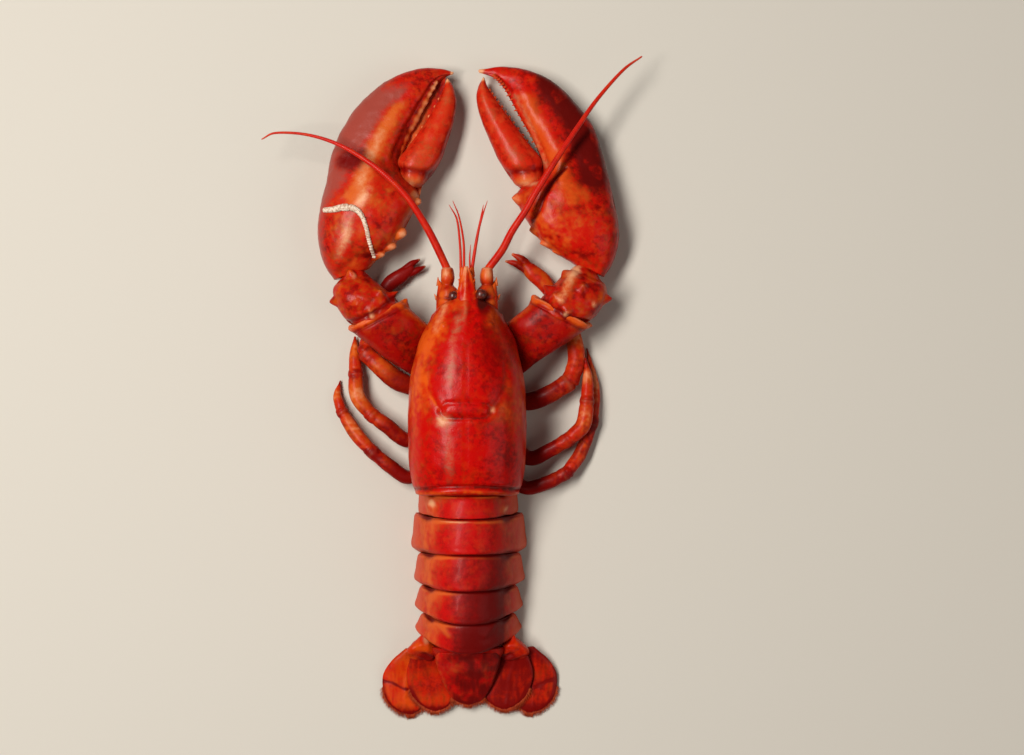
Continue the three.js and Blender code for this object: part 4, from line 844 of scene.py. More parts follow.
def tail_ring(size):
    """Rings of one tail ring: over the arch from right to left, then back below the belly."""
    front, widest, rear = size["wide"]
    low = size["low"]
    shape = [
        [0, front, -1.1], [0.14, front + 0.35 * (widest - front), -0.2],
        [0.5, front + 0.75 * (widest - front), 0.45], [0.86, widest, 0.5], [1, rear, 0.3],
    ]

    def ring(turn, place):
        width, lift = read(shape, place)
        half = width * TAIL_HALF_WIDTH
        peak = between(size["top"], place) * TAIL_HEIGHT + lift
        share = turn / (2 * np.pi)
        angle = np.pi * np.clip(share / ARCH_SHARE, 0, 1)
        x = half * np.cos(angle) * (1 - 0.09 * np.abs(np.sin(2 * angle)))
        edge = low + 3.4 * ease(np.abs(place - 0.72), 0.1, 0.75)
        z = edge + (peak - edge) * np.sin(angle)
        below = np.clip((share - ARCH_SHARE) / (1 - ARCH_SHARE), 0, 1)
        side = np.where(below < 0.5, -1.0, 1.0)
        near = np.minimum(below, 1 - below)
        inset = np.interp(near, [0, PLATE_EDGE_SHARE, PLATE_SHARE], [0, PLATE_THICKNESS, PLATE_INSET])
        belly = (half - PLATE_INSET) * (below - 0.5) / (0.5 - PLATE_SHARE)
        inner = np.where(near < PLATE_SHARE, side * (half - inset), belly)
        level = np.interp(near, [PLATE_EDGE_SHARE, PLATE_SHARE, 0.5], [0, BELLY_LEVEL, BELLY_LEVEL - 0.9])
        level = np.maximum(np.where(near < PLATE_EDGE_SHARE, edge, level), edge)
        under = share > ARCH_SHARE
        x = np.where(under, inner, x)
        z = np.where(under, level, z)
        y_side = between(size["sides"], place)
        y_back = between(size["back"], place)
        y = y_side + (y_back - y_side) * (z - low) / (peak - low)
        middle = columns(size["aside"], (y_side + y_back) / 2, BELLY_LEVEL + 8)
        return middle, columns(x + size["aside"], y, z) - middle, columns(0 * x, -1, 0)
    return ring


def paddle(x, root):
    """A soft swimming plate that hangs back from its root below the belly."""
    rows = [
        [x, root + 1, BELLY_LEVEL + 1, 2, 1.2], [x * 1.04, root - 5, BELLY_LEVEL - 3, 3.2, 0.8],
        [x, root - 10.5, BELLY_LEVEL - 4.6, 1.4, 0.6],
    ]
    skin = rolled(28, 40, limb_ring(rows), cap=0.05, dome=0.6)
    along = marks_of(skin, "along")[1]
    raised(skin, -0.2 * bell(along, 0.3, 0.04))
    painted(skin, orange=0.9, cream=0.5 * ease(along, 0.5, 1))
    return skin


# The pale pink-orange of this shell is the painted sheen of the side plates.
tail_finish = shell_finish("tail shell", deep=(0.13, 0.001, 0.0005), orange=(0.60, 0.085, 0.012),
                           dusk=(0.58, 0.075, 0.030), mottling=0.55, warmth=0.3, gloss=0.46)
for number, size in enumerate(TAIL_RINGS, 1):
    ring = rolled(230, 64, tail_ring(size), cap=0.03, dome=0.12, shut=0.03)
    spots, along = marks_of(ring, "along")
    x, y, z = (spots - (size["aside"], 0, 0)).T
    slope = np.abs(x) / (max(size["wide"]) * TAIL_HALF_WIDTH)
    outer = ease(z, BELLY_LEVEL, BELLY_LEVEL + 2) + ease(slope, 0.82, 0.95) * (z > 1)
    outer = np.clip(outer, 0, 1) * (z > -1)
    hinge = 0.8 * bell(slope, 0.7, 0.08) * bell(along, 0.08, 0.1)
    hinge += 0.4 * bell(slope, 0.72, 0.07) * bell(along, 0.98, 0.06)
    fold = groove(columns(np.abs(x), y), FIFTH_RING_FOLD, 1.3) * (number == 5)
    height = 0.07 * bell(along, 0.95, 0.05) - 0.07 * bell(along, 0.86, 0.06) + 0.35 * fold - hinge
    height -= 0.45 * (1 - ease(along, 0.01, 0.09)) + 0.14 * bell(slope, 0.8, 0.05) * ease(along, 0.1, 0.5)
    height += patches(spots, FIRST_RING_KNOBS) * (z > BACK_LEVEL) * (number == 1)
    raised(ring, height * outer + 0.16 * lumps(spots, 6, 10 + number)
           + 0.07 * lumps(spots, 2.4, 20 + number))

    # Painted light on each ring: more orange on the left as lit, the front edge dark as the shadow of the
    # ring before, a thin orange and pale line just behind it as a painted highlight, the right side darker
    # as shade, and a painted sheen on the side plates.
    lit = 0.4 * ease(-x, -4, 20)
    blotch = 0.62 + 0.45 * lumps(spots, 6, 33) + 0.3 * lumps(spots, 2.2, 34)
    orange = blotch * bell(slope, 0.72, 0.2) * (0.6 + lit)
    orange += 0.8 * bell(along, 0.1, 0.05) * bell(slope, 0.45, 0.4) + 0.6 * fold
    orange += 0.35 * (1 - ease(along, 0.1, 0.6)) * bell(slope, 0.5, 0.3) * (0.4 + 1.5 * lit)
    orange += 0.9 * (z < BELLY_LEVEL + 1) * (slope < 0.8) + 0.4 * ease(slope, 0.84, 0.98)
    dark = 0.8 * hinge + 0.5 * (1 - ease(along, 0.02, 0.12)) + 0.25 * ease(along, 0.93, 1)
    dark += 0.2 * bell(slope, 0.78, 0.06) + 0.3 * ease(x, 1, 14) * (1 - ease(slope, 0.62, 0.85))
    dark += size["shade"] * ease(x, -15, 2) * (1 - ease(slope, 0.55, 0.82))
    cream = patches(spots, FIRST_RING_CHALK) * (z > BACK_LEVEL)
    cream += (0.45 * (number == 2) + 0.16) * bell(along, 0.09, 0.03) * bell(x, -5, 7)
    cream += 0.5 * (z < BELLY_LEVEL + 0.6) * (slope < 0.7)
    painted(ring, orange=orange, dusk=0.75 * ease(slope, 0.74, 0.95), dark=dark, cream=cream)

    if number > 1:
        for side in (-1, 1):
            added(ring, paddle(side * size["wide"][0] * PADDLE_PLACE, sum(size["sides"]) / 2))
    shown(f"tail_shell_{number}", ring, tail_finish, f"tail_ring_{number}")

last_ring = rolled(120, 40, flat_ring(LAST_RING, square=2.4), cap=0.05, dome=0.4)
spots, rise, along = marks_of(last_ring, "rise", "along")
raised(last_ring, 0.12 * lumps(spots, 4, 31) + 0.3 * bell(along, 0.9, 0.08))
painted(last_ring, orange=0.9 * (rise < -0.2) + 0.2 * ease(np.abs(spots[:, 0]), 11, 14),
        dark=0.4 * (rise > 0))
shown("tail_shell_6", last_ring, tail_finish, "tail_ring_6")


# Tail fan: a middle plate and two pairs of blades on short bases, all thin hard plates. The outer
# blades are jointed across, and every rear edge carries a fringe of short stiff bristles.
TELSON = [
    [-14.6, -117.4, 14.6, -117.4, 21.4, 6], [-15.2, -121.6, 15.2, -121.6, 18.6, 6],
    [-13.6, -127.6, 13.6, -127.6, 13.6, 5.5], [-11.2, -134.4, 11.2, -134.4, 9.8, 4.8],
    [-8.6, -139.2, 8.6, -139.2, 7.4, 4.4], [-6.2, -141.6, 6.2, -141.6, 6.2, 4.2],
    [-2, -143.4, 2, -143.4, 5.2, 4.2],
]
TELSON_RIBS = [[6.5, -121], [4.6, -136]]
TELSON_DIPS = [[3, -122], [1.4, -134]]
TELSON_GLOW = [-6.5, -125, 4.5, 4]
FAN_BASE = [
    [-22.6, -110.8, -19.4, -110.8, 12, 6], [-26.4, -114.6, -16, -114.6, 14.4, 4.6],
    [-28.8, -118, -14.6, -118.2, 12.6, 4], [-27, -121.2, -15.4, -122, 9.8, 4.2],
]
# Each side's gold and dark values paint the left blades more golden and the right blades darker, as painted
# light from the left.
FAN_LEAVES = {
    "inner": {
        "rows": [
            [-26.6, -120, -16, -119.6, 9.4, 6.6], [-29, -128, -11.4, -127, 7.2, 4.8],
            [-28.4, -135, -7.6, -134.4, 6, 3.8], [-25.4, -141.2, -6.4, -141, 5.2, 3.2],
            [-20.8, -145.2, -10, -145, 4.8, 3], [-17.8, -146.6, -13.4, -146.6, 4.2, 3],
        ],
        "rib": [[-21.6, -121], [-18.4, -132], [-17, -144]],
        "left": {"gold": 0.23, "dark": 0.38}, "right": {"gold": -0.07, "dark": 0.70},
    },
    "outer": {
        "rows": [
            [-29.6, -117.2, -22.4, -118.6, 6.8, 3.6], [-36.4, -123.4, -23.6, -124, 5.4, 1.8],
            [-40.4, -130.4, -23, -130.4, 3.9, 0.6], [-40.2, -138.2, -21.6, -137.4, 3.4, 0],
            [-38, -143.4, -20.6, -142.8, 3.1, 0], [-33.6, -147.4, -21.8, -146, 2.7, 0.1],
            [-29.4, -148.8, -25.4, -148.4, 2, 0.4],
        ],
        "rib": [[-27, -121], [-29.4, -134], [-29.6, -146]],
        "seam": [[-42, -132.6], [-36, -133.6], [-30.6, -136.6], [-21, -137]],
        "left": {"gold": 0.45, "dark": 0.03}, "right": {"gold": 0.15, "dark": 0.50},
    },
}
FAN_RIGHT_SHIFT = (1.4, 0.9)
BRISTLE_LENGTH = 2.4
BRISTLE_ROOT = 0.8
BRISTLE_RADIUS = 0.2
END_SHARE = 0.45
fan_random = random.Random(7)
fan_finish = shell_finish("fan shell", red=(0.50, 0.012, 0.001), deep=(0.17, 0.002, 0.001),
                          orange=(0.62, 0.06, 0.002), mottling=0.8, gloss=0.34)
bristle_finish = shell_finish("fan bristles", red=(0.46, 0.065, 0.018), deep=(0.28, 0.024, 0.008),
                              mottling=0.9, gloss=0.6, bump=0)


def bristles(name, ring, start, count):
    """A row of bristles round the rear edge of a thin plate, from one side over the end to the other."""
    brush = bmesh.new()
    spread = np.linspace(-1, 1, count)
    place = np.clip(1 - (1 - start) * (np.abs(spread) - END_SHARE) / (1 - END_SHARE), 0, 1)
    middle, reach, ahead = ring(np.where(spread < 0, np.pi, 0.0), place)
    roots = middle + reach * np.clip(np.abs(spread) / END_SHARE, 0, 1)[:, None]
    run = np.gradient(roots, axis=0)
    out = columns(run[:, 1], -run[:, 0])
    out /= np.linalg.norm(out, axis=1)[:, None]
    flow = ahead[:, :2]
    out = out * np.sign((out * (0.6 * flow + reach[:, :2] / 12)).sum(axis=1))[:, None] + 0.8 * flow
    out /= np.linalg.norm(out, axis=1)[:, None]
    for root, (right, ahead) in zip(roots, out):
        right += fan_random.uniform(-0.2, 0.2)
        ahead += fan_random.uniform(-0.2, 0.2)
        way = Vector((right, ahead, fan_random.uniform(-0.12, 0.05)))
        length = BRISTLE_LENGTH * fan_random.uniform(0.75, 1.1) + BRISTLE_ROOT
        foot = Vector(root) + Vector((0, 0, fan_random.uniform(-0.3, 0.4))) - way * BRISTLE_ROOT
        spike(brush, foot, foot + way * length, BRISTLE_RADIUS, sides=3)
    piece = piece_of(name, brush, bristle_finish)
    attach(piece, "root")


telson_ring = flat_ring(TELSON, square=2.6)
telson = rolled(130, 120, telson_ring, cap=0.03, dome=0.5)
spots, across, rise, along = marks_of(telson, "across", "rise", "along")
x, y, z = spots.T
folded = columns(np.abs(x), y)
ribs = 0.25 * groove(folded, TELSON_RIBS, 1.8) + 0.2 * bell(np.abs(across), 0.9, 0.07)
ribs -= 0.3 * groove(folded, TELSON_DIPS, 1.6)
raised(telson, ribs * (rise > 0) + 0.12 * lumps(spots, 3.6, 40))
streaks = lumps(spots * (2.6, 0.5, 1), 3, 41)
glow = patch(spots, *TELSON_GLOW)
# Painted light: the telson is darker towards its right as shade, and the glow patch on its left paints it
# lighter and more orange.
dark = (0.5 + 0.2 * ease(x, -10, 2) + 0.4 * lumps(spots, 5, 42) + 0.3 * streaks) * ease(x, -19, -6)
painted(telson,
        orange=0.35 * bell(np.abs(across), 0.95, 0.12) + 0.8 * (rise < -0.3) + 0.35 * glow + 0.2 * streaks
        + 0.2 * lumps(spots, 2, 43) + 0.4 * patch(spots, 8, -125.5, 2.4, 5.5),
        dark=(dark * (1 - 0.7 * glow) + 0.35 * ease(along, 0.8, 0.95)) * (rise > 0))
shown("telson_plate", telson, tail_finish, "telson")
bristles("telson_bristles", telson_ring, 0.72, 240)

for word, side in SIDES:
    right, ahead = (0, 0) if side < 0 else FAN_RIGHT_SHIFT
    knuckle = rolled(60, 60, flat_ring(turned(FAN_BASE, side)), cap=0.06, dome=0.8)
    spots, along, rise = marks_of(knuckle, "along", "rise")
    notch = patch(spots, side * 19.5, -119.8, 3, 1.2, side * 20) * (rise > 0)
    raised(knuckle, 0.5 * lumps(spots, 3, 44) + 0.7 * lumps(spots, 5, 46) - notch)
    # The left base is painted more orange than the right, as painted light from the left.
    painted(knuckle,
            orange=0.4 - 0.25 * (side > 0) + 0.5 * lumps(spots, 5, 45),
            dark=0.95 * patch(spots, side * 19, -120.6, 4.5, 2.2) + 0.3 * ease(along, 0.5, 0.9),
            cream=0.5 * patch(spots, -19.4, -112, 1.8, 2.2) * (side < 0))
    shown(f"fan_knuckle_{word}", knuckle, fan_finish, f"fan_base_{word}")
    for name, leaf_of in FAN_LEAVES.items():
        rows = [[a + right, b + ahead, c + right, d + ahead, top, low]
                for a, b, c, d, top, low in turned(leaf_of["rows"], side)]
        leaf_ring = flat_ring(rows, square=2.4)
        leaf = rolled(110, 130, leaf_ring, cap=0.04, dome=0.5)
        spots, across, rise, along = marks_of(leaf, "across", "rise", "along")
        local = columns(-side * (spots[:, 0] - right), spots[:, 1] - ahead)
        rib = leaf_of["rib"]
        streaks = lumps(spots * (2.4, 0.5, 1), 3, 57)
        rays = np.sin(local[:, 0] * 5.2) * ease(along, 0.35, 0.8)
        ridge = groove(local, rib, 1.0)
        height = 0.3 * ridge - 0.2 * groove(local, rib, 2.6) + 0.05 * rays
        edge = ease(np.abs(across), 0.66, 0.95) * ease(along, 0.25, 0.6) + ease(along, 0.62, 0.95)
        dark = leaf_of[word]["dark"] + 0.95 * edge + 0.2 * groove(local, rib, 0.8)
        dark += 0.3 * (1 - ease(along, 0.0, 0.3)) + 0.3 * streaks
        if "seam" in leaf_of:
            height -= 0.09 * groove(local, leaf_of["seam"], 0.9)
            dark += 0.9 * groove(local, leaf_of["seam"], 0.8)
        raised(leaf, height * (rise > 0) + 0.1 * lumps(spots, 4, 50 + len(rows)))
        gold = leaf_of[word]["gold"] + 0.5 * lumps(spots, 7, 58) + 0.4 * streaks
        painted(leaf, orange=gold + 0.35 * (rise < 0) + 0.2 * ridge, dark=dark * (rise > -0.2))
        shown(f"fan_{name}_leaf_{word}", leaf, fan_finish, f"fan_{name}_{word}")
        bristles(f"fan_{name}_bristles_{word}", leaf_ring, 0.45, 420)


# Arms: from the breast a short base, a flattened upper arm and a thick wrist carry each great claw. All
# are hard shell over meat, with a few strong spines at the joints.
ARM_HEIGHT = 29
ARM_BASE = [[-8, 16, 4.6, 3.6, 3.6], [-15, 20, 4.8, 4.6, 4], [-22, 24, 4.8, 4.6, 4]]
UPPER_ARMS = {
    "left": [
        [-54.5, 32.9, -30.1, 46, 0.93, 0.36], [-49.8, 28.7, -25.9, 41.8, 0.93, 0.34],
        [-39, 20.2, -20.7, 37.1, 0.84, 0.33], [-31, 14.6, -16.9, 34.3, 0.7, 0.32],
        [-25, 10.4, -14.4, 31.4, 0.5, 0.3],
    ],
    "right": [
        [31, 47.6, 56.9, 34.3, 0.93, 0.36], [27.7, 43.7, 51.2, 30.1, 0.93, 0.34],
        [22.1, 39, 40.4, 23, 0.84, 0.33], [17.9, 35.7, 32, 17.4, 0.7, 0.32],
        [15, 32.6, 26, 12.6, 0.5, 0.3],
    ],
}
WRISTS = {
    "left": [
        [-57.4, 58.6, -49.4, 61.8, 0.66, 0.36], [-62.2, 52.8, -42.6, 55.2, 0.88, 0.3],
        [-61.4, 46.4, -33.6, 47.9, 1, 0.29], [-58.1, 39.2, -31, 42.6, 0.98, 0.3],
        [-53, 34.4, -32.6, 37.4, 0.92, 0.34], [-47.4, 32.4, -37.2, 33.8, 0.82, 0.42],
    ],
    "right": [
        [51.4, 62.6, 60.2, 59.2, 0.66, 0.36], [44, 57.8, 64.2, 52.8, 0.88, 0.3],
        [34.5, 47.9, 64.2, 46.6, 1, 0.29], [32.2, 42.6, 60.4, 40.4, 0.98, 0.3],
        [34.8, 36.8, 55.2, 35.8, 0.92, 0.34], [39.4, 33.6, 49.4, 32.9, 0.82, 0.42],
    ],
}
WRIST_SPINES = {
    "left": [
        [(-60, 46.2, 20), (-65.6, 45.6, 19)], [(-54, 57, 20), (-54.8, 61.8, 22)],
        [(-44, 41, 28.6), (-44, 40.2, 30.2)], [(-34.6, 48.6, 22), (-30.2, 51.8, 22)],
        [(-50, 44, 28.6), (-50.5, 44.2, 29.6)], [(-40, 50, 27), (-39, 51.4, 28.8)],
    ],
    "right": [
        [(63, 46.8, 20), (68.6, 47.8, 19)], [(46.4, 57.2, 20), (43.4, 61.2, 21)],
        [(46, 41, 28.6), (46, 40.2, 30.2)], [(38, 51.2, 22), (34.4, 54, 22)],
        [(53, 52, 27), (53.4, 53, 29.4)], [(41, 47.6, 27), (40, 48.8, 28.8)],
    ],
}
WRIST_RIDGE = [[50.6, 61.5], [46.4, 53], [43.4, 46]]
WRIST_FOLD = [[57, 35.4], [48.6, 37.6], [39.4, 42.4], [32, 48.8]]
WRIST_BUMPS = {"left": [(-43.6, 38.4), (-52.3, 57.2)], "right": [(45.5, 39.7), (58.3, 44.3)]}
WRIST_MIDDLE = [51.6, 50.6, 6.4, 5.6]
WRIST_KNOB_HIGHLIGHT = [50.4, 60.4, 2.6, 3.2]
UPPER_ARM_SPINES = {
    "left": [[(-52.4, 33, 16), (-56.6, 34.6, 16)], [(-29.4, 43.6, 18), (-28.6, 48.8, 18)]],
    "right": [[(54.8, 34, 16), (58.8, 35.6, 16)], [(31.4, 45.6, 18), (30.6, 50.8, 18)]],
}


def at_height(rows, height):
    """Rows whose levels are given as shares of a height."""
    return [[a, b, c, d, top * height, low * height] for a, b, c, d, top, low in rows]


limb_finish = shell_finish("limb shell", red=(0.47, 0.012, 0.002), deep=(0.19, 0.002, 0.001),
                           orange=(0.60, 0.090, 0.006), mottling=1.0, warmth=0.4, gloss=0.36)
upper_arm_finish = shell_finish("upper arm shell", red=(0.33, 0.003, 0.001), deep=(0.10, 0.001, 0.001),
                                mottling=1.1, warmth=0.22, gloss=0.34)
wrist_finish = shell_finish("wrist shell", red=(0.44, 0.006, 0.002), deep=(0.18, 0.002, 0.001),
                            orange=(0.56, 0.075, 0.005), mottling=1.3, warmth=0.6)
for word, side in SIDES:
    base = rolled(40, 60, limb_ring(turned_limb(ARM_BASE, side)), cap=0.06, dome=2.2)
    spots, along = marks_of(base, "along")
    raised(base, 0.15 * lumps(spots, 3, 61) - 0.5 * bell(along, 0.5, 0.04))
    painted(base, orange=0.6 * (1 - along), dark=0.6 * bell(along, 0.5, 0.06))
    shown(f"arm_root_{word}", base, limb_finish, f"arm_base_{word}")

    rows = at_height(UPPER_ARMS[word], ARM_HEIGHT)
    upper = rolled(150, 150, flat_ring(rows, square=2.6), cap=0.04, dome=1.0)
    spots, across, rise, along = marks_of(upper, "across", "rise", "along")
    outer = side * across
    lift = 0.25 * bell(along, 0.06, 0.05) - 0.5 * bell(along, 0.14, 0.03)
    lift -= 0.5 * bell(outer, 0.15, 0.3) * ease(along, 0.2, 0.4)
    raised(upper, lift * ease(rise, -0.3, 0.2) + 0.35 * lumps(spots, 9, 62) + 0.12 * lumps(spots, 3, 63))
    tips = sum(pulled(upper, root, tip, 3.6, 1.5) for root, tip in UPPER_ARM_SPINES[word])
    blotch = ease(lumps(marks_of(upper)[0], 8, 64), 0.0, 0.5)
    painted(upper,
            orange=0.8 * bell(along, 0.0, 0.09) + 0.8 * tips + 0.35 * blotch * (1 - along)
            + 0.5 * (rise < -0.5) + 0.45 * ease(-outer, 0.55, 0.95),
            dark=0.5 * bell(along, 0.16, 0.04) + 0.45 * ease(along, 0.5, 1),
            cream=0.3 * bell(along, 0.0, 0.03))
    shown(f"upper_limb_{word}", upper, upper_arm_finish, f"upper_arm_{word}")

    rows = at_height(WRISTS[word], ARM_HEIGHT)
    wrist = rolled(170, 150, flat_ring(rows, square=2.35), cap=0.05, dome=1.0)
    spots, rise, along = marks_of(wrist, "rise", "along")
    collar = 0.8 * bell(along, 0.9, 0.05) - 0.8 * bell(along, 0.8, 0.04) - 0.6 * bell(along, 0.1, 0.04)
    uneven = 0.5 * lumps(spots, 10, 65) + 0.25 * lumps(spots, 4, 66) + 0.08 * lumps(spots, 1.8, 67)
    raised(wrist, uneven + collar * ease(rise, -0.2, 0.3))
    tips = sum(pulled(wrist, root, tip, 3.4, 1.4) for root, tip in WRIST_SPINES[word])
    bumps = sum(patch(spots, *bump, 1.4, 1.4) for bump in WRIST_BUMPS[word]) * (rise > 0)
    ridge = groove(spots, WRIST_RIDGE, 2.1) * (rise > 0)
    fold = groove(spots, [[side * x, y] for x, y in WRIST_FOLD], 1.5) * (rise > 0)
    raised(wrist, 0.6 * bumps + 0.9 * ridge - 0.85 * fold)
    spots = marks_of(wrist)[0]
    blotch = lumps(spots, 7, 68 + side) + 0.5 * lumps(spots, 3, 69)
    middle = patch(spots, *WRIST_MIDDLE)
    # Painted highlights: the pale line along the ridge of the right wrist, the pale spot at its knob, and
    # part of the cream on the bumps.
    painted(wrist,
            orange=(0.18 + 0.6 * blotch) * (1 - 0.7 * middle) + 0.6 * tips + 0.5 * ridge,
            dark=0.9 * fold + 0.5 * ease(-blotch, 0.0, 0.5) + 0.4 * middle,
            cream=0.2 * tips + 0.25 * bell(along, 0.9, 0.04) * ease(blotch, 0, 0.3) + 0.5 * bumps
            + 0.45 * ridge + 0.6 * patch(spots, *WRIST_KNOB_HIGHLIGHT))
    shown(f"wrist_shell_{word}", wrist, wrist_finish, f"wrist_{word}")


# Crusher: the great left claw, a swollen palm of hard shell over meat that runs out into a fixed finger.
# Its inner side has a few blunt knobs, and its finger the rounded teeth that crush shells.
CRUSHER_HEIGHT = 28
CRUSHER = [
    [-62.5, 56.4, -45.6, 62, 0.66, 0.22], [-66.9, 63, -40.9, 67.7, 0.82, 0.1],
    [-69.8, 72.9, -34, 72.9, 0.96, 0], [-69.8, 83.7, -28.6, 82.7, 1, 0], [-68.2, 93.1, -23, 92.6, 1, 0],
    [-66.3, 101.5, -24.4, 99.4, 0.94, 0.02], [-64.9, 109, -31.4, 106.7, 0.87, 0.04],
    [-63, 117.5, -31.4, 114.7, 0.8, 0.06], [-57.8, 128.8, -26.8, 125.5, 0.72, 0.08],
    [-49.8, 140, -20.7, 136.8, 0.64, 0.1], [-38.5, 149.5, -15, 147.1, 0.56, 0.13],
    [-24.9, 155.1, -11.8, 150.9, 0.48, 0.17], [-13.2, 155.8, -10.1, 151.9, 0.4, 0.22],
    [-7.3, 154.2, -8, 152.8, 0.33, 0.28],
]
CRUSHER_TEETH = [
    [6.95, 1.3], [7.3, 1.6], [7.7, 1.9], [8.15, 1.7], [8.5, 1.9], [8.85, 1.5], [9.2, 1.7], [9.55, 1.2],
    [9.85, 1.1], [10.2, 0.9],
]
CRUSHER_KNOBS = [
    [-27.9, 76.6, 2], [-33, 70.5, 1.9], [-37.6, 65.9, 1.8], [-22.8, 95.1, 1.6], [-21, 91.9, 1.4],
]
CRUSHER_RIDGE = [[-46, 92], [-39, 116], [-24, 142]]
CRUSHER_NECK = [[-60, 60], [-52, 66.5], [-44, 66.5]]
HINGE_DIP = [[-27, 98], [-34, 103], [-38, 110]]
CRUSHER_BAND = [[-52, 92], [-48.4, 104], [-44, 115], [-39.2, 126], [-33.4, 138]]
BAND_HIGHLIGHT = [[-49.6, 100], [-44.6, 113], [-39.8, 124]]
FLANK_BORDER = [[92, -0.62], [104, -0.36], [114, -0.08], [126, 0.04], [140, 0.12]]
FEELER_SHADOW_ON_CRUSHER = [-55, 111.2, 9, 6, 10]
CRUSHER_SPOT_AND_HIGHLIGHTS = [
    [0.7, -36.2, 102.6, 1.4, 1.4], [0.6, -47.8, 93.6, 2.6, 6.4, -32], [0.62, -56.4, 74.6, 2.8, 9, -20],
]
TOOTH_LEVEL = 10.5
KNOB_LEVEL = 14
# Its rose colour is the painted sheen of the outer flank.
rose_finish = shell_finish("crusher shell", red=(0.50, 0.010, 0.003), deep=(0.15, 0.003, 0.002),
                           orange=(0.60, 0.10, 0.012), dusk=(0.33, 0.055, 0.038), mottling=1.1)

crusher = rolled(230, 300, flat_ring(at_height(CRUSHER, CRUSHER_HEIGHT), square=2.4), cap=0.02, dome=0.8)
spots, across, rise = marks_of(crusher, "across", "rise")
y = spots[:, 1]
upper = ease(rise, 0.0, 0.35)
rim = bell(across, 0.8, 0.1) * upper * ease(y, 106, 114)
inner = ease(across, 0.72, 0.98) * ease(y, 104, 112)
shape = 0.9 * groove(spots, CRUSHER_RIDGE, 4.6) - 0.9 * patch(spots, -56, 108, 6, 22, -14)
shape += 0.7 * patch(spots, -36, 84, 9, 12) - 0.8 * groove(spots, HINGE_DIP, 2.0)
shape -= 0.35 * groove(spots, CRUSHER_NECK, 1.8)
raised(crusher, shape * upper + 0.3 * lumps(spots, 8, 71) + 0.14 * lumps(spots, 3, 72) - 0.7 * rim)
for x, y, radius in CRUSHER_KNOBS:
    tip = (x - 0.6, y + 0.4, KNOB_LEVEL + 5.4)
    pulled(crusher, (x - 4, y + 0.8, KNOB_LEVEL + 3), tip, radius * 1.8, 0.5)
teeth = 0
for row, radius in CRUSHER_TEETH:
    x, y = row_at(CRUSHER, row)[2:4]
    tip = (x + 0.1 + 0.35 * radius, y - 0.3, TOOTH_LEVEL + 2.4)
    teeth += pulled(crusher, (x - 0.4, y, TOOTH_LEVEL + 1.5), tip, radius * 1.85, 0.8)
tooth_line = [row_at(CRUSHER, row)[2:4] for row, radius in CRUSHER_TEETH]

spots, across, rise, along = marks_of(crusher, "across", "rise", "along")
y, z = spots[:, 1], spots[:, 2]
blotch = lumps(spots, 9, 73) + 0.5 * lumps(spots, 4, 74)
fine = lumps(spots, 2.2, 77)
# Painted sheen: a rose sheen over the outer flank.
border = np.interp(y, *np.array(FLANK_BORDER).T) - across
flank = ease(border, -0.14, 0.16) * ease(y, 84, 108) * (1 - ease(y, 140, 152))
flank += 0.5 * ease(-across, 0.6, 0.95)
band = groove(spots, CRUSHER_BAND, 4.5) * ease(y, 84, 96) * (1 - ease(y, 134, 145))
# Painted shadow of the long feeler on the palm.
feeler_shadow = patch(spots, *FEELER_SHADOW_ON_CRUSHER)
knobs = sum(patch(spots, right - 1.6, ahead + 0.4, radius * 1.2, radius * 1.2)
            for right, ahead, radius in CRUSHER_KNOBS)
orange = 0.95 * band + (0.2 + 0.32 * blotch + 0.2 * fine) * (1 - ease(y, 92, 112)) + 0.7 * (rise < -0.3)
orange += 1.1 * teeth + 0.5 * groove(spots, tooth_line, 1.3) * bell(z, TOOTH_LEVEL + 2, 4)
orange += 0.5 * ease(along, 0.95, 1) + knobs + 0.4 * ease(across, 0.75, 0.95) * (1 - ease(y, 84, 94))
orange += 0.15 * patch(spots, -36, 112, 5, 16, -20)
dark = 1.2 * feeler_shadow + 0.32 * ease(-blotch - 0.5 * fine, 0.0, 0.8) * (1 - ease(y, 88, 100))
# Painted shade along the inner edge by the gap and in the dip along the top beside the teeth.
dark += 0.5 * inner * (1 - np.clip(1.6 * teeth, 0, 1)) + 0.5 * groove(spots, CRUSHER_NECK, 1.4) * (rise > 0)
dark += 0.4 * bell(across, 0.8, 0.1) * upper * ease(y, 106, 114)
# Painted highlights: a streak beside the ochre band and two pale patches on the palm. The spot at the hinge
# is pale shell.
cream = 0.8 * ease(along, 0.975, 1) + 0.6 * knobs + 0.55 * teeth + 0.4 * groove(spots, BAND_HIGHLIGHT, 2.8)
painted(crusher,
        orange=orange * (1 - 0.6 * flank), dark=dark,
        dusk=flank * (1 - 0.8 * band) * (rise > -0.6) * (1 - 0.95 * feeler_shadow),
        cream=cream + patches(spots, CRUSHER_SPOT_AND_HIGHLIGHTS))
crusher_surface = BVHTree.FromBMesh(crusher)
shown("crusher_claw", crusher, rose_finish, "claw_left")


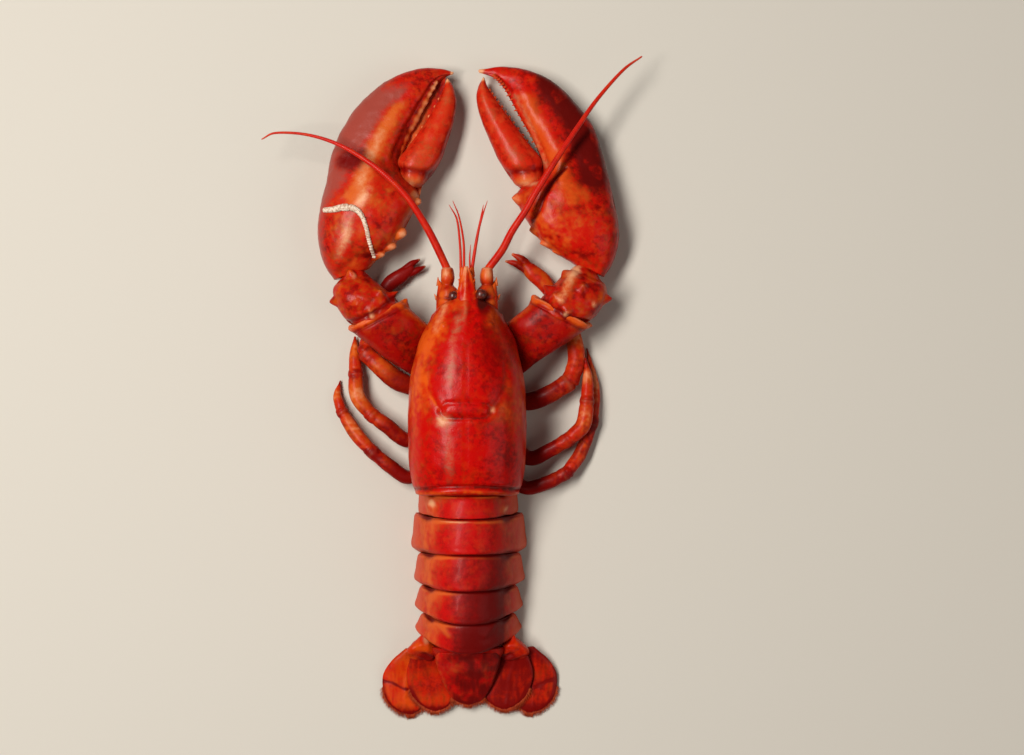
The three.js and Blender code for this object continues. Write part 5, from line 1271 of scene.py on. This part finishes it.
# Crusher finger: the movable jaw on the inner side of the left claw, hinged at the palm. Its hard shell
# has a raised collar at the hinge and low blunt teeth along the edge that bites.
CRUSHER_FINGER = [
    [-29.4, 101.6, -22.3, 99.8, 0.62, 0.16], [-32.4, 106.7, -18, 104.3, 0.72, 0.1],
    [-32.8, 112.8, -12.7, 112.3, 0.72, 0.1], [-28.9, 118, -9.4, 121.7, 0.66, 0.1],
    [-22.3, 126.9, -6.6, 131.1, 0.58, 0.12], [-16.2, 136.8, -5.4, 139.6, 0.5, 0.16],
    [-12.7, 143.8, -6.6, 146.2, 0.42, 0.2], [-10.6, 149.4, -8.6, 149.8, 0.34, 0.26],
]
CRUSHER_FINGER_TEETH = ((3.2, 1.2), (3.7, 1.4), (4.1, 1.1), (4.6, 1.2), (5.1, 1), (5.6, 0.9))
finger_finish = shell_finish("finger shell", red=(0.55, 0.016, 0.004), orange=(0.64, 0.13, 0.03),
                             mottling=0.9)


def hinged(along):
    """The collar at the hinge of a finger, and the groove behind it."""
    return 0.8 * bell(along, 0.05, 0.05) - 0.9 * bell(along, 0.16, 0.04)


rows = at_height(CRUSHER_FINGER, CRUSHER_HEIGHT)
crusher_finger = rolled(130, 170, flat_ring(rows, square=2.8), cap=0.03, dome=1.0)
spots, across, rise, along = marks_of(crusher_finger, "across", "rise", "along")
bite = ease(-across, 0.75, 0.98) * bell(rise, 0, 0.5) * ease(along, 0.2, 0.35)
raised(crusher_finger, (0.5 * bell(across, 0.05, 0.45) + hinged(along)) * ease(rise, 0.0, 0.3) - 0.4 * bite
       + 0.25 * lumps(spots, 6, 75))
painted(crusher_finger,
        orange=0.3 * bell(across, 0.1, 0.5) * (rise > 0) + 0.6 * ease(along, 0.92, 1)
        + 0.45 * bell(along, 0.05, 0.06) + 0.35 * ease(-across, 0.7, 0.95) + 0.5 * (rise < -0.4),
        cream=0.8 * ease(along, 0.95, 1) + 0.5 * patch(spots, -26, 101.4, 2, 1.8),
        dark=0.7 * bell(along, 0.16, 0.045) + 0.4 * ease(across, 0.7, 0.95)
        + 0.3 * bell(across, -0.5, 0.12) * (rise > 0))
for row, radius in CRUSHER_FINGER_TEETH:
    x, y = row_at(CRUSHER_FINGER, row)[:2]
    bead(crusher_finger, (x + 0.3, y, TOOTH_LEVEL - 1), radius * 0.7, (1, 1.2, 1.4), orange=0.85, cream=0.35)
shown("crusher_finger", crusher_finger, finger_finish, "claw_finger_left")


# Worm tube: the chalk tube of a small sea worm, grown on the back of the crusher. It is laid on the
# finished claw, follows its surface, and is cracked across in two places.
WORM_TUBE = [
    [-66.2, 88, 1.1], [-61.6, 88, 1.4], [-56.8, 88.8, 1.7], [-51.9, 88.2, 1.45], [-48.6, 85.3, 1.15],
    [-46.5, 80, 1.0], [-45.3, 74.4, 0.9], [-43.3, 66.3, 0.75],
]
TUBE_BREAKS = ((-57.9, 88.6), (-54, 88.8))
TUBE_STEPS = 60
CHALK_WHITE = (0.80, 0.66, 0.52, 1)
CHALK_BROWN = (0.50, 0.30, 0.20, 1)
CHALK_DEPTH = 0.0003
ABOVE_CLAW = 60
DOWN = Vector((0, 0, -1))
tube_rows = []
for share in np.linspace(0, len(WORM_TUBE) - 1, TUBE_STEPS):
    x, y, radius = row_at(WORM_TUBE, share)
    spot = crusher_surface.ray_cast(Vector((x, y, ABOVE_CLAW)), DOWN)[0]
    tube_rows.append([x, y, spot.z + 0.3 * radius, radius, radius * 0.85])
tube = rolled(26, 420, limb_ring(tube_rows), cap=0.01, dome=0.4)
spots, along = marks_of(tube, "along")
breaks = sum(patch(spots, x, y, 0.5, 2.2, 8) for x, y in TUBE_BREAKS)
raised(tube, 0.14 * lumps(spots, 0.9, 76) + 0.1 * np.sin(along * 330) - 0.5 * breaks)
chalk, tree, place = finish_of("chalk tube")
dust = noise_of(tree, place, 900, 5)
tone = mixed(tree, eased(tree, dust, 0.4, 0.66), CHALK_WHITE, CHALK_BROWN)
dressed(tree, tone, dust, 0.7, CHALK_DEPTH, {"Roughness": 0.85})
tube_piece = piece_of("worm_tube", tube, chalk)
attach(tube_piece, "root")


# Cutter: the slimmer right claw, of the same hard shell. Its fixed finger carries a row of sharp small
# teeth, a crease runs down the palm from the gap with the painted shadow of the long feeler along it,
# and short spikes stand on its inner side.
CUTTER_HEIGHT = 25
CUTTER = [
    [48.4, 64.4, 63.9, 57.8, 0.7, 0.24], [41.4, 68.6, 68.2, 64.9, 0.84, 0.1],
    [34.3, 74.3, 70.8, 75.2, 0.97, 0], [27.9, 83.7, 70.2, 84.6, 1, 0], [23.2, 92.6, 68.2, 93.5, 0.98, 0],
    [24.2, 98.7, 66.5, 101.5, 0.93, 0.02], [34.6, 105.3, 64.9, 109, 0.85, 0.04],
    [34, 113.7, 63, 116.1, 0.79, 0.06], [29.4, 124.1, 59.2, 127.4, 0.71, 0.08],
    [23.2, 134.9, 51.7, 138.2, 0.63, 0.1], [18, 144.8, 41.4, 148.5, 0.55, 0.13],
    [13.6, 150.4, 29.6, 154.6, 0.48, 0.17], [10.1, 152.6, 16.5, 156.8, 0.4, 0.22],
    [6, 153.8, 5.6, 155.4, 0.33, 0.28],
]
CUTTER_TEETH = np.linspace(7.5, 11.6, 19)
CUTTER_SPIKES = [[21.9, 93.5, 1.9], [29.2, 78, 1.8], [35, 72.1, 1.8], [39.7, 67.3, 1.7]]
CUTTER_RIDGE = [[47, 92], [40, 118], [26, 142]]
CUTTER_NECK = [[60, 62], [52, 68], [45, 69.5]]
PALM_CREASE_AND_FEELER_SHADOW = [[45.4, 107.4], [39.6, 101.2], [35.8, 94.6], [33.6, 87.8], [30.2, 83.3]]
CUTTER_SHADED_FLANK = [[38, 147], [48.5, 132], [55, 117], [57, 104]]
CUTTER_BAND = [[27.4, 140], [36.6, 120], [42.4, 108], [49.7, 94]]
CUTTER_PALE_STREAK_AND_HIGHLIGHT = [[22, 143], [30, 127], [37, 109]]
SPECKLED_PALM = [38, 76, 13, 11, -42]
# Its darkest colour is the painted shade of the outer flank.
maroon_finish = shell_finish("cutter shell", red=(0.52, 0.006, 0.002), deep=(0.19, 0.002, 0.001),
                             orange=(0.62, 0.075, 0.008), dusk=(0.11, 0.003, 0.002), mottling=1.1)

cutter = rolled(230, 300, flat_ring(at_height(CUTTER, CUTTER_HEIGHT), square=2.4), cap=0.02, dome=0.8)
spots, across, rise = marks_of(cutter, "across", "rise")
y = spots[:, 1]
upper = ease(rise, 0.0, 0.35)
inner = ease(-across, 0.72, 0.98) * ease(y, 104, 112)
shape = 0.8 * groove(spots, CUTTER_RIDGE, 4.4) - 0.7 * patch(spots, 55, 108, 6, 24, 12)
shape += 0.6 * patch(spots, 36, 84, 8, 10) - 0.7 * groove(spots, PALM_CREASE_AND_FEELER_SHADOW, 1.0)
shape -= 0.35 * groove(spots, CUTTER_NECK, 1.8)
rim = bell(-across, 0.84, 0.08) * upper * ease(y, 106, 114)
raised(cutter, shape * upper + 0.3 * lumps(spots, 8, 81) + 0.14 * lumps(spots, 3, 82) - 0.5 * rim)
for x, y, radius in CUTTER_SPIKES:
    pulled(cutter, (x + 1.6, y, KNOB_LEVEL), (x - 1.4, y + 0.8, KNOB_LEVEL + 1.4), radius * 1.9, 1.0)

spots, across, rise, along = marks_of(cutter, "across", "rise", "along")
y = spots[:, 1]
blotch = lumps(spots, 9, 83) + 0.5 * lumps(spots, 4, 84)
fine = lumps(spots, 2.2, 87)
# Painted shade: the outer flank, facing away from the light, is darker.
flank = 0.4 * ease(across, 0.3, 0.9) + 1.1 * groove(spots, CUTTER_SHADED_FLANK, 7.6)
knobs = sum(patch(spots, *place, radius * 1.5, radius * 1.5) for *place, radius in CUTTER_SPIKES)
speckled = patch(spots, *SPECKLED_PALM)
mottled = 0.17 + 0.26 * blotch + (0.2 + 0.35 * speckled) * fine
orange = 0.75 * groove(spots, CUTTER_BAND, 4.4) + mottled * (1 - ease(y, 92, 110)) + 0.1 * inner
orange += 0.7 * (rise < -0.3) + 0.22 * speckled + 0.5 * ease(along, 0.95, 1) + 0.8 * knobs
orange += 0.25 * patch(spots, 35, 84, 6, 10)
# The dark line along the palm crease is the painted shadow of the long feeler.
dark = 0.8 * groove(spots, PALM_CREASE_AND_FEELER_SHADOW, 1.0) + 0.3 * ease(-blotch - 0.5 * fine, 0.0, 0.8)
dark += 0.45 * groove(spots, CUTTER_NECK, 1.4)
# The pale streak along the fixed finger is partly pale shell and partly a painted highlight.
cream = 0.8 * ease(along, 0.97, 1) + 0.4 * knobs + 0.3 * groove(spots, CUTTER_PALE_STREAK_AND_HIGHLIGHT, 1.5)
painted(cutter,
        orange=orange, dark=dark * (rise > 0),
        dusk=flank * (rise > -0.6) * (1 - 0.4 * ease(blotch, 0.1, 0.5)),
        cream=cream + 0.7 * patch(spots, 29.6, 101, 3.4, 1.6))
for number, row in enumerate(CUTTER_TEETH):
    x, y = row_at(CUTTER, row)[:2]
    reach = 1.4 if number % 3 == 1 else 0.9
    spike(cutter, (x + 1.2, y + 0.5, TOOTH_LEVEL), (x - reach * 0.85, y - reach * 0.3, TOOTH_LEVEL), 0.85,
          sides=8, orange=0.5, cream=0.15)
shown("cutter_claw", cutter, maroon_finish, "claw_right")


# Cutter finger: the movable jaw of the right claw, hinged and made as the other is, in the same shell. It
# is narrower, and its teeth are finer.
CUTTER_FINGER = [
    [24.2, 99.8, 33.6, 101.4, 0.64, 0.16], [19.3, 104.8, 35.6, 107.2, 0.72, 0.1],
    [14.1, 113.3, 34.6, 113.9, 0.72, 0.1], [9.9, 122.7, 28.9, 120.8, 0.66, 0.1],
    [6.1, 131.6, 21.2, 131.1, 0.58, 0.12], [4, 140.5, 14.6, 140, 0.5, 0.16],
    [4.7, 147.1, 9.9, 146.6, 0.42, 0.2], [6.4, 150.6, 8.2, 150.6, 0.34, 0.26],
]
CUTTER_FINGER_TEETH = np.linspace(3.1, 5.8, 11)
rows = at_height(CUTTER_FINGER, CUTTER_HEIGHT)
cutter_finger = rolled(130, 170, flat_ring(rows, square=2.3), cap=0.03, dome=1.0)
spots, across, rise, along = marks_of(cutter_finger, "across", "rise", "along")
bite = ease(across, 0.75, 0.98) * bell(rise, 0, 0.5) * ease(along, 0.2, 0.35)
raised(cutter_finger, (0.45 * bell(across, -0.05, 0.5) + hinged(along)) * ease(rise, 0.0, 0.3) - 0.8 * bite
       + 0.25 * lumps(spots, 6, 85))
painted(cutter_finger,
        orange=0.3 * bell(across, -0.2, 0.4) * (rise > 0) + 0.6 * ease(along, 0.92, 1)
        + 0.6 * bell(along, 0.05, 0.06) + 0.3 * ease(across, 0.75, 0.95) + 0.5 * (rise < -0.4),
        cream=0.8 * ease(along, 0.95, 1) + 0.6 * patch(spots, 27.6, 101.4, 3, 1.6),
        dark=0.7 * bell(along, 0.16, 0.045) + 0.3 * bell(across, 0.45, 0.12) * (rise > 0))
for row in CUTTER_FINGER_TEETH:
    x, y = row_at(CUTTER_FINGER, row)[2:4]
    bead(cutter_finger, (x - 0.4, y - 0.1, TOOTH_LEVEL - 1.5), 0.7, (1, 1.3, 1.3), orange=0.45, cream=0.1)
shown("cutter_finger", cutter_finger, finger_finish, "claw_finger_right")


# Walking legs: thin hard tubes of shell, jointed. The first pair ends in small pincers, the next two in
# points, and the last pair, hidden in the view from above, is folded back under the tail.
LEGS = {
    "leg_1_left": {
        "rows": [
            [-9, 6, 4.8, 2.6, 2.6], [-20, 5.4, 5, 3.8, 3], [-32, 8.6, 7.6, 4.7, 3.5],
            [-41, 15.6, 8.6, 4.4, 3.4], [-48.6, 22.4, 6.8, 3.8, 3.2], [-46.4, 31, 4.4, 3.4, 2.9],
            [-42.6, 42, 3.8, 3.1, 2.8], [-39.4, 50.6, 4, 3, 2.8],
        ],
        "joints": [4], "red": 0.3, "hand_dark": 0.9, "dark_to": 0.84,
        "pincer": [
            [-39.6, 51, 4, 2.9, 2.7], [-36.8, 55, 4.2, 3.6, 3], [-31, 59, 4.4, 3.4, 2.8],
            [-26.6, 62, 4.3, 2.3, 2.2],
        ],
        "fingers": [
            [[-30.6, 61, 4.3, 1.8, 1.9], [-26.6, 64.2, 4.3, 1.6, 1.6], [-23.2, 66.1, 4.2, 0.6, 0.7]],
            [[-28.8, 59, 4.3, 1.8, 1.9], [-24, 61.2, 4.3, 1.6, 1.6], [-20.6, 62.9, 4.2, 0.6, 0.7]],
        ],
    },
    "leg_2_left": {
        "rows": [
            [-9.4, -6, 4.8, 2.5, 2.5], [-18, -12.6, 4.9, 3, 2.8], [-28.2, -19, 6.6, 3.5, 3.1],
            [-38.5, -11.8, 8.6, 3.6, 3.2], [-45.6, -6.8, 8.4, 3.2, 3], [-52, 1.8, 7.6, 3.6, 3.2],
            [-53, 12.6, 5.8, 3.4, 3], [-53.6, 22, 4, 2.4, 2.2], [-53.6, 28.6, 2.6, 0.7, 0.7],
        ],
        "joints": [4, 6], "red": 0.25,
    },
    "leg_3_left": {
        "rows": [
            [-9.4, -18, 4.8, 2.5, 2.5], [-18, -28.6, 4.9, 2.9, 2.7], [-27.4, -36.4, 6.4, 3.2, 3],
            [-36.4, -31.4, 8.2, 3.3, 3], [-45.8, -23.6, 8.4, 3, 2.8], [-53.1, -15.4, 7, 3.3, 2.9],
            [-59.6, -5.4, 4.6, 2.7, 2.5], [-61.9, 1.8, 3, 2, 1.9], [-60.9, 7.8, 1.6, 0.5, 0.5],
        ],
        "joints": [4, 6], "red": 0.42,
    },
    "leg_1_right": {
        "rows": [
            [9, 6, 4.8, 2.6, 2.6], [18, 1.6, 5, 3.4, 2.9], [28, -0.8, 6.8, 4.2, 3.3],
            [37.6, 2.4, 8.6, 4.3, 3.4], [47.8, 8.6, 8.4, 4.2, 3.4], [51, 18.6, 6.4, 4.1, 3.3],
            [49.4, 30, 4.6, 3.8, 3.1], [43.6, 41.6, 4, 3.3, 2.9], [39, 50, 4, 3, 2.8],
        ],
        "joints": [4], "red": 0.4, "hand_dark": 0,
        "pincer": [
            [38.8, 50.6, 4, 3, 2.8], [35.8, 55.4, 4.2, 4, 3], [30.6, 60, 4.4, 3.8, 2.9],
            [27, 63.4, 4.3, 2.6, 2.3],
        ],
        "fingers": [
            [[29.8, 61.6, 4.3, 2.1, 2.1], [25.4, 66.2, 4.3, 1.9, 1.8], [21, 68.7, 4.2, 0.7, 0.7]],
            [[28, 60.8, 4.3, 1.9, 2], [22.6, 64.2, 4.3, 1.6, 1.6], [18, 65.4, 4.2, 0.6, 0.7]],
        ],
    },
    "leg_2_right": {
        "rows": [
            [9.4, -6, 4.8, 2.5, 2.5], [18, -17.6, 4.9, 3, 2.8], [28.4, -27.2, 6.8, 3.5, 3.1],
            [38, -23.8, 9.4, 3.4, 3.2], [47, -18.6, 10.4, 3.3, 3.1], [54, -11.6, 10.6, 3.7, 3.2],
            [55.9, 0, 9.4, 3.2, 2.9], [56.3, 10, 8.2, 2.4, 2.2], [55.4, 18.4, 7.4, 0.7, 0.7],
        ],
        "joints": [4, 6], "red": 0.55,
    },
    "leg_3_right": {
        "rows": [
            [9.4, -18, 4.8, 2.5, 2.5], [17, -30.6, 4.9, 2.9, 2.7], [26, -41, 6.4, 3.2, 3],
            [37, -39, 7.6, 3.3, 3], [46.4, -34.4, 7.4, 3, 2.8], [53, -25, 5, 3.2, 2.8],
            [58.6, -10.6, 3.6, 2.9, 2.6], [59.9, 6, 2.6, 2.2, 2], [56.4, 23, 1.2, 0.5, 0.5],
        ],
        "joints": [4, 6], "red": 0.6,
    },
}
FOLDED_LEG = [
    [-8.6, -31, 4.6, 2.2, 2.2], [-15.4, -40, 4.4, 2.6, 2.4], [-19, -49, 4, 2.4, 2.1],
    [-15.6, -60, 3.3, 2, 1.8], [-11, -69, 2.8, 1.4, 1.3], [-8.6, -75, 2.4, 0.5, 0.5],
]
LEG_WORDS = ("thigh", "shin", "foot")
THIGH_DARK_TO = 0.98
for word, side in SIDES:
    LEGS[f"leg_4_{word}"] = {"rows": turned_limb(FOLDED_LEG, side), "joints": [2], "red": 0.2}

for number, (name, leg) in enumerate(LEGS.items()):
    red = leg["red"]
    ends = [0, *leg["joints"], len(leg["rows"]) - 1]
    for word, first, last in zip(LEG_WORDS, ends, ends[1:]):
        starts = first == 0
        goes_on = last < ends[-1]
        segment = rolled(36, 34 * (last - first), limb_ring(leg["rows"][first:last + 1]), cap=0.03, dome=1.6)
        spots, rise, along = marks_of(segment, "rise", "along")
        flare = (0.3 * bell(along, 0.97, 0.05) - 0.15 * bell(along, 0.9, 0.03)) * goes_on
        if starts:
            flare -= 0.45 * bell(along, 0.24, 0.012)
        else:
            flare += 0.2 * bell(along, 0.02, 0.05) - 0.15 * bell(along, 0.1, 0.03)
        raised(segment, flare + 0.14 * lumps(spots, 4, 90 + number) + 0.05 * lumps(spots, 1.6, 91))
        blotch = lumps(spots, 9, 92 + number) + 0.4 * lumps(spots, 3.5, 93)
        fine = lumps(spots, 1.7, 94)
        light = bell(along, 0.55, 0.26) * bell(rise, 0.9, 0.8)
        dark_to = leg.get("dark_to", THIGH_DARK_TO)
        shade = 0.85 * (1 - ease(along, dark_to - 0.3, dark_to)) if starts else 0.5 * bell(along, 0, 0.1)
        shade += 0.5 * bell(along, 1, 0.12)
        painted(segment,
                orange=0.85 * (1 - red) * (0.4 + light) * (1 - 0.7 * shade) + 0.3 * blotch + 0.2 * fine
                + 0.4 * (rise < -0.4),
                dark=shade * (0.6 + red) * (rise > -0.6)
                + (0.2 + 0.5 * red) * ease(-blotch - 0.6 * fine, 0.0, 0.6),
                cream=0.46 * light * ease(blotch + 0.6 * fine, -0.3, 0.5) * (not starts)
                + 0.15 * bell(along, 0.97, 0.03) * goes_on)
        shown(f"{name}_tube_{word}", segment, limb_finish, f"{name}_{word}")
    if "pincer" in leg:
        pincer = rolled(44, 80, limb_ring(leg["pincer"]), cap=0.05, dome=1.6)
        spots, along = marks_of(pincer, "along")
        raised(pincer, 0.15 * lumps(spots, 3.5, 95))
        painted(pincer,
                orange=0.8 * (1 - red) * ease(lumps(spots, 5, 96), -0.2, 0.3) * (1 - leg["hand_dark"]),
                dark=leg["hand_dark"] + 0.5 * bell(along, 0, 0.1))
        for rows in leg["fingers"]:
            finger = rolled(26, 60, limb_ring(rows), cap=0.04, dome=0.6)
            spots, along = marks_of(finger, "along")
            raised(finger, 0.12 * lumps(spots, 2, 97))
            painted(finger, dark=0.3 + leg["hand_dark"], orange=0.5 * ease(along, 0.7, 1),
                    cream=0.4 * ease(along, 0.9, 1))
            added(pincer, finger)
        shown(f"{name}_hand", pincer, limb_finish, f"{name}_pincer")
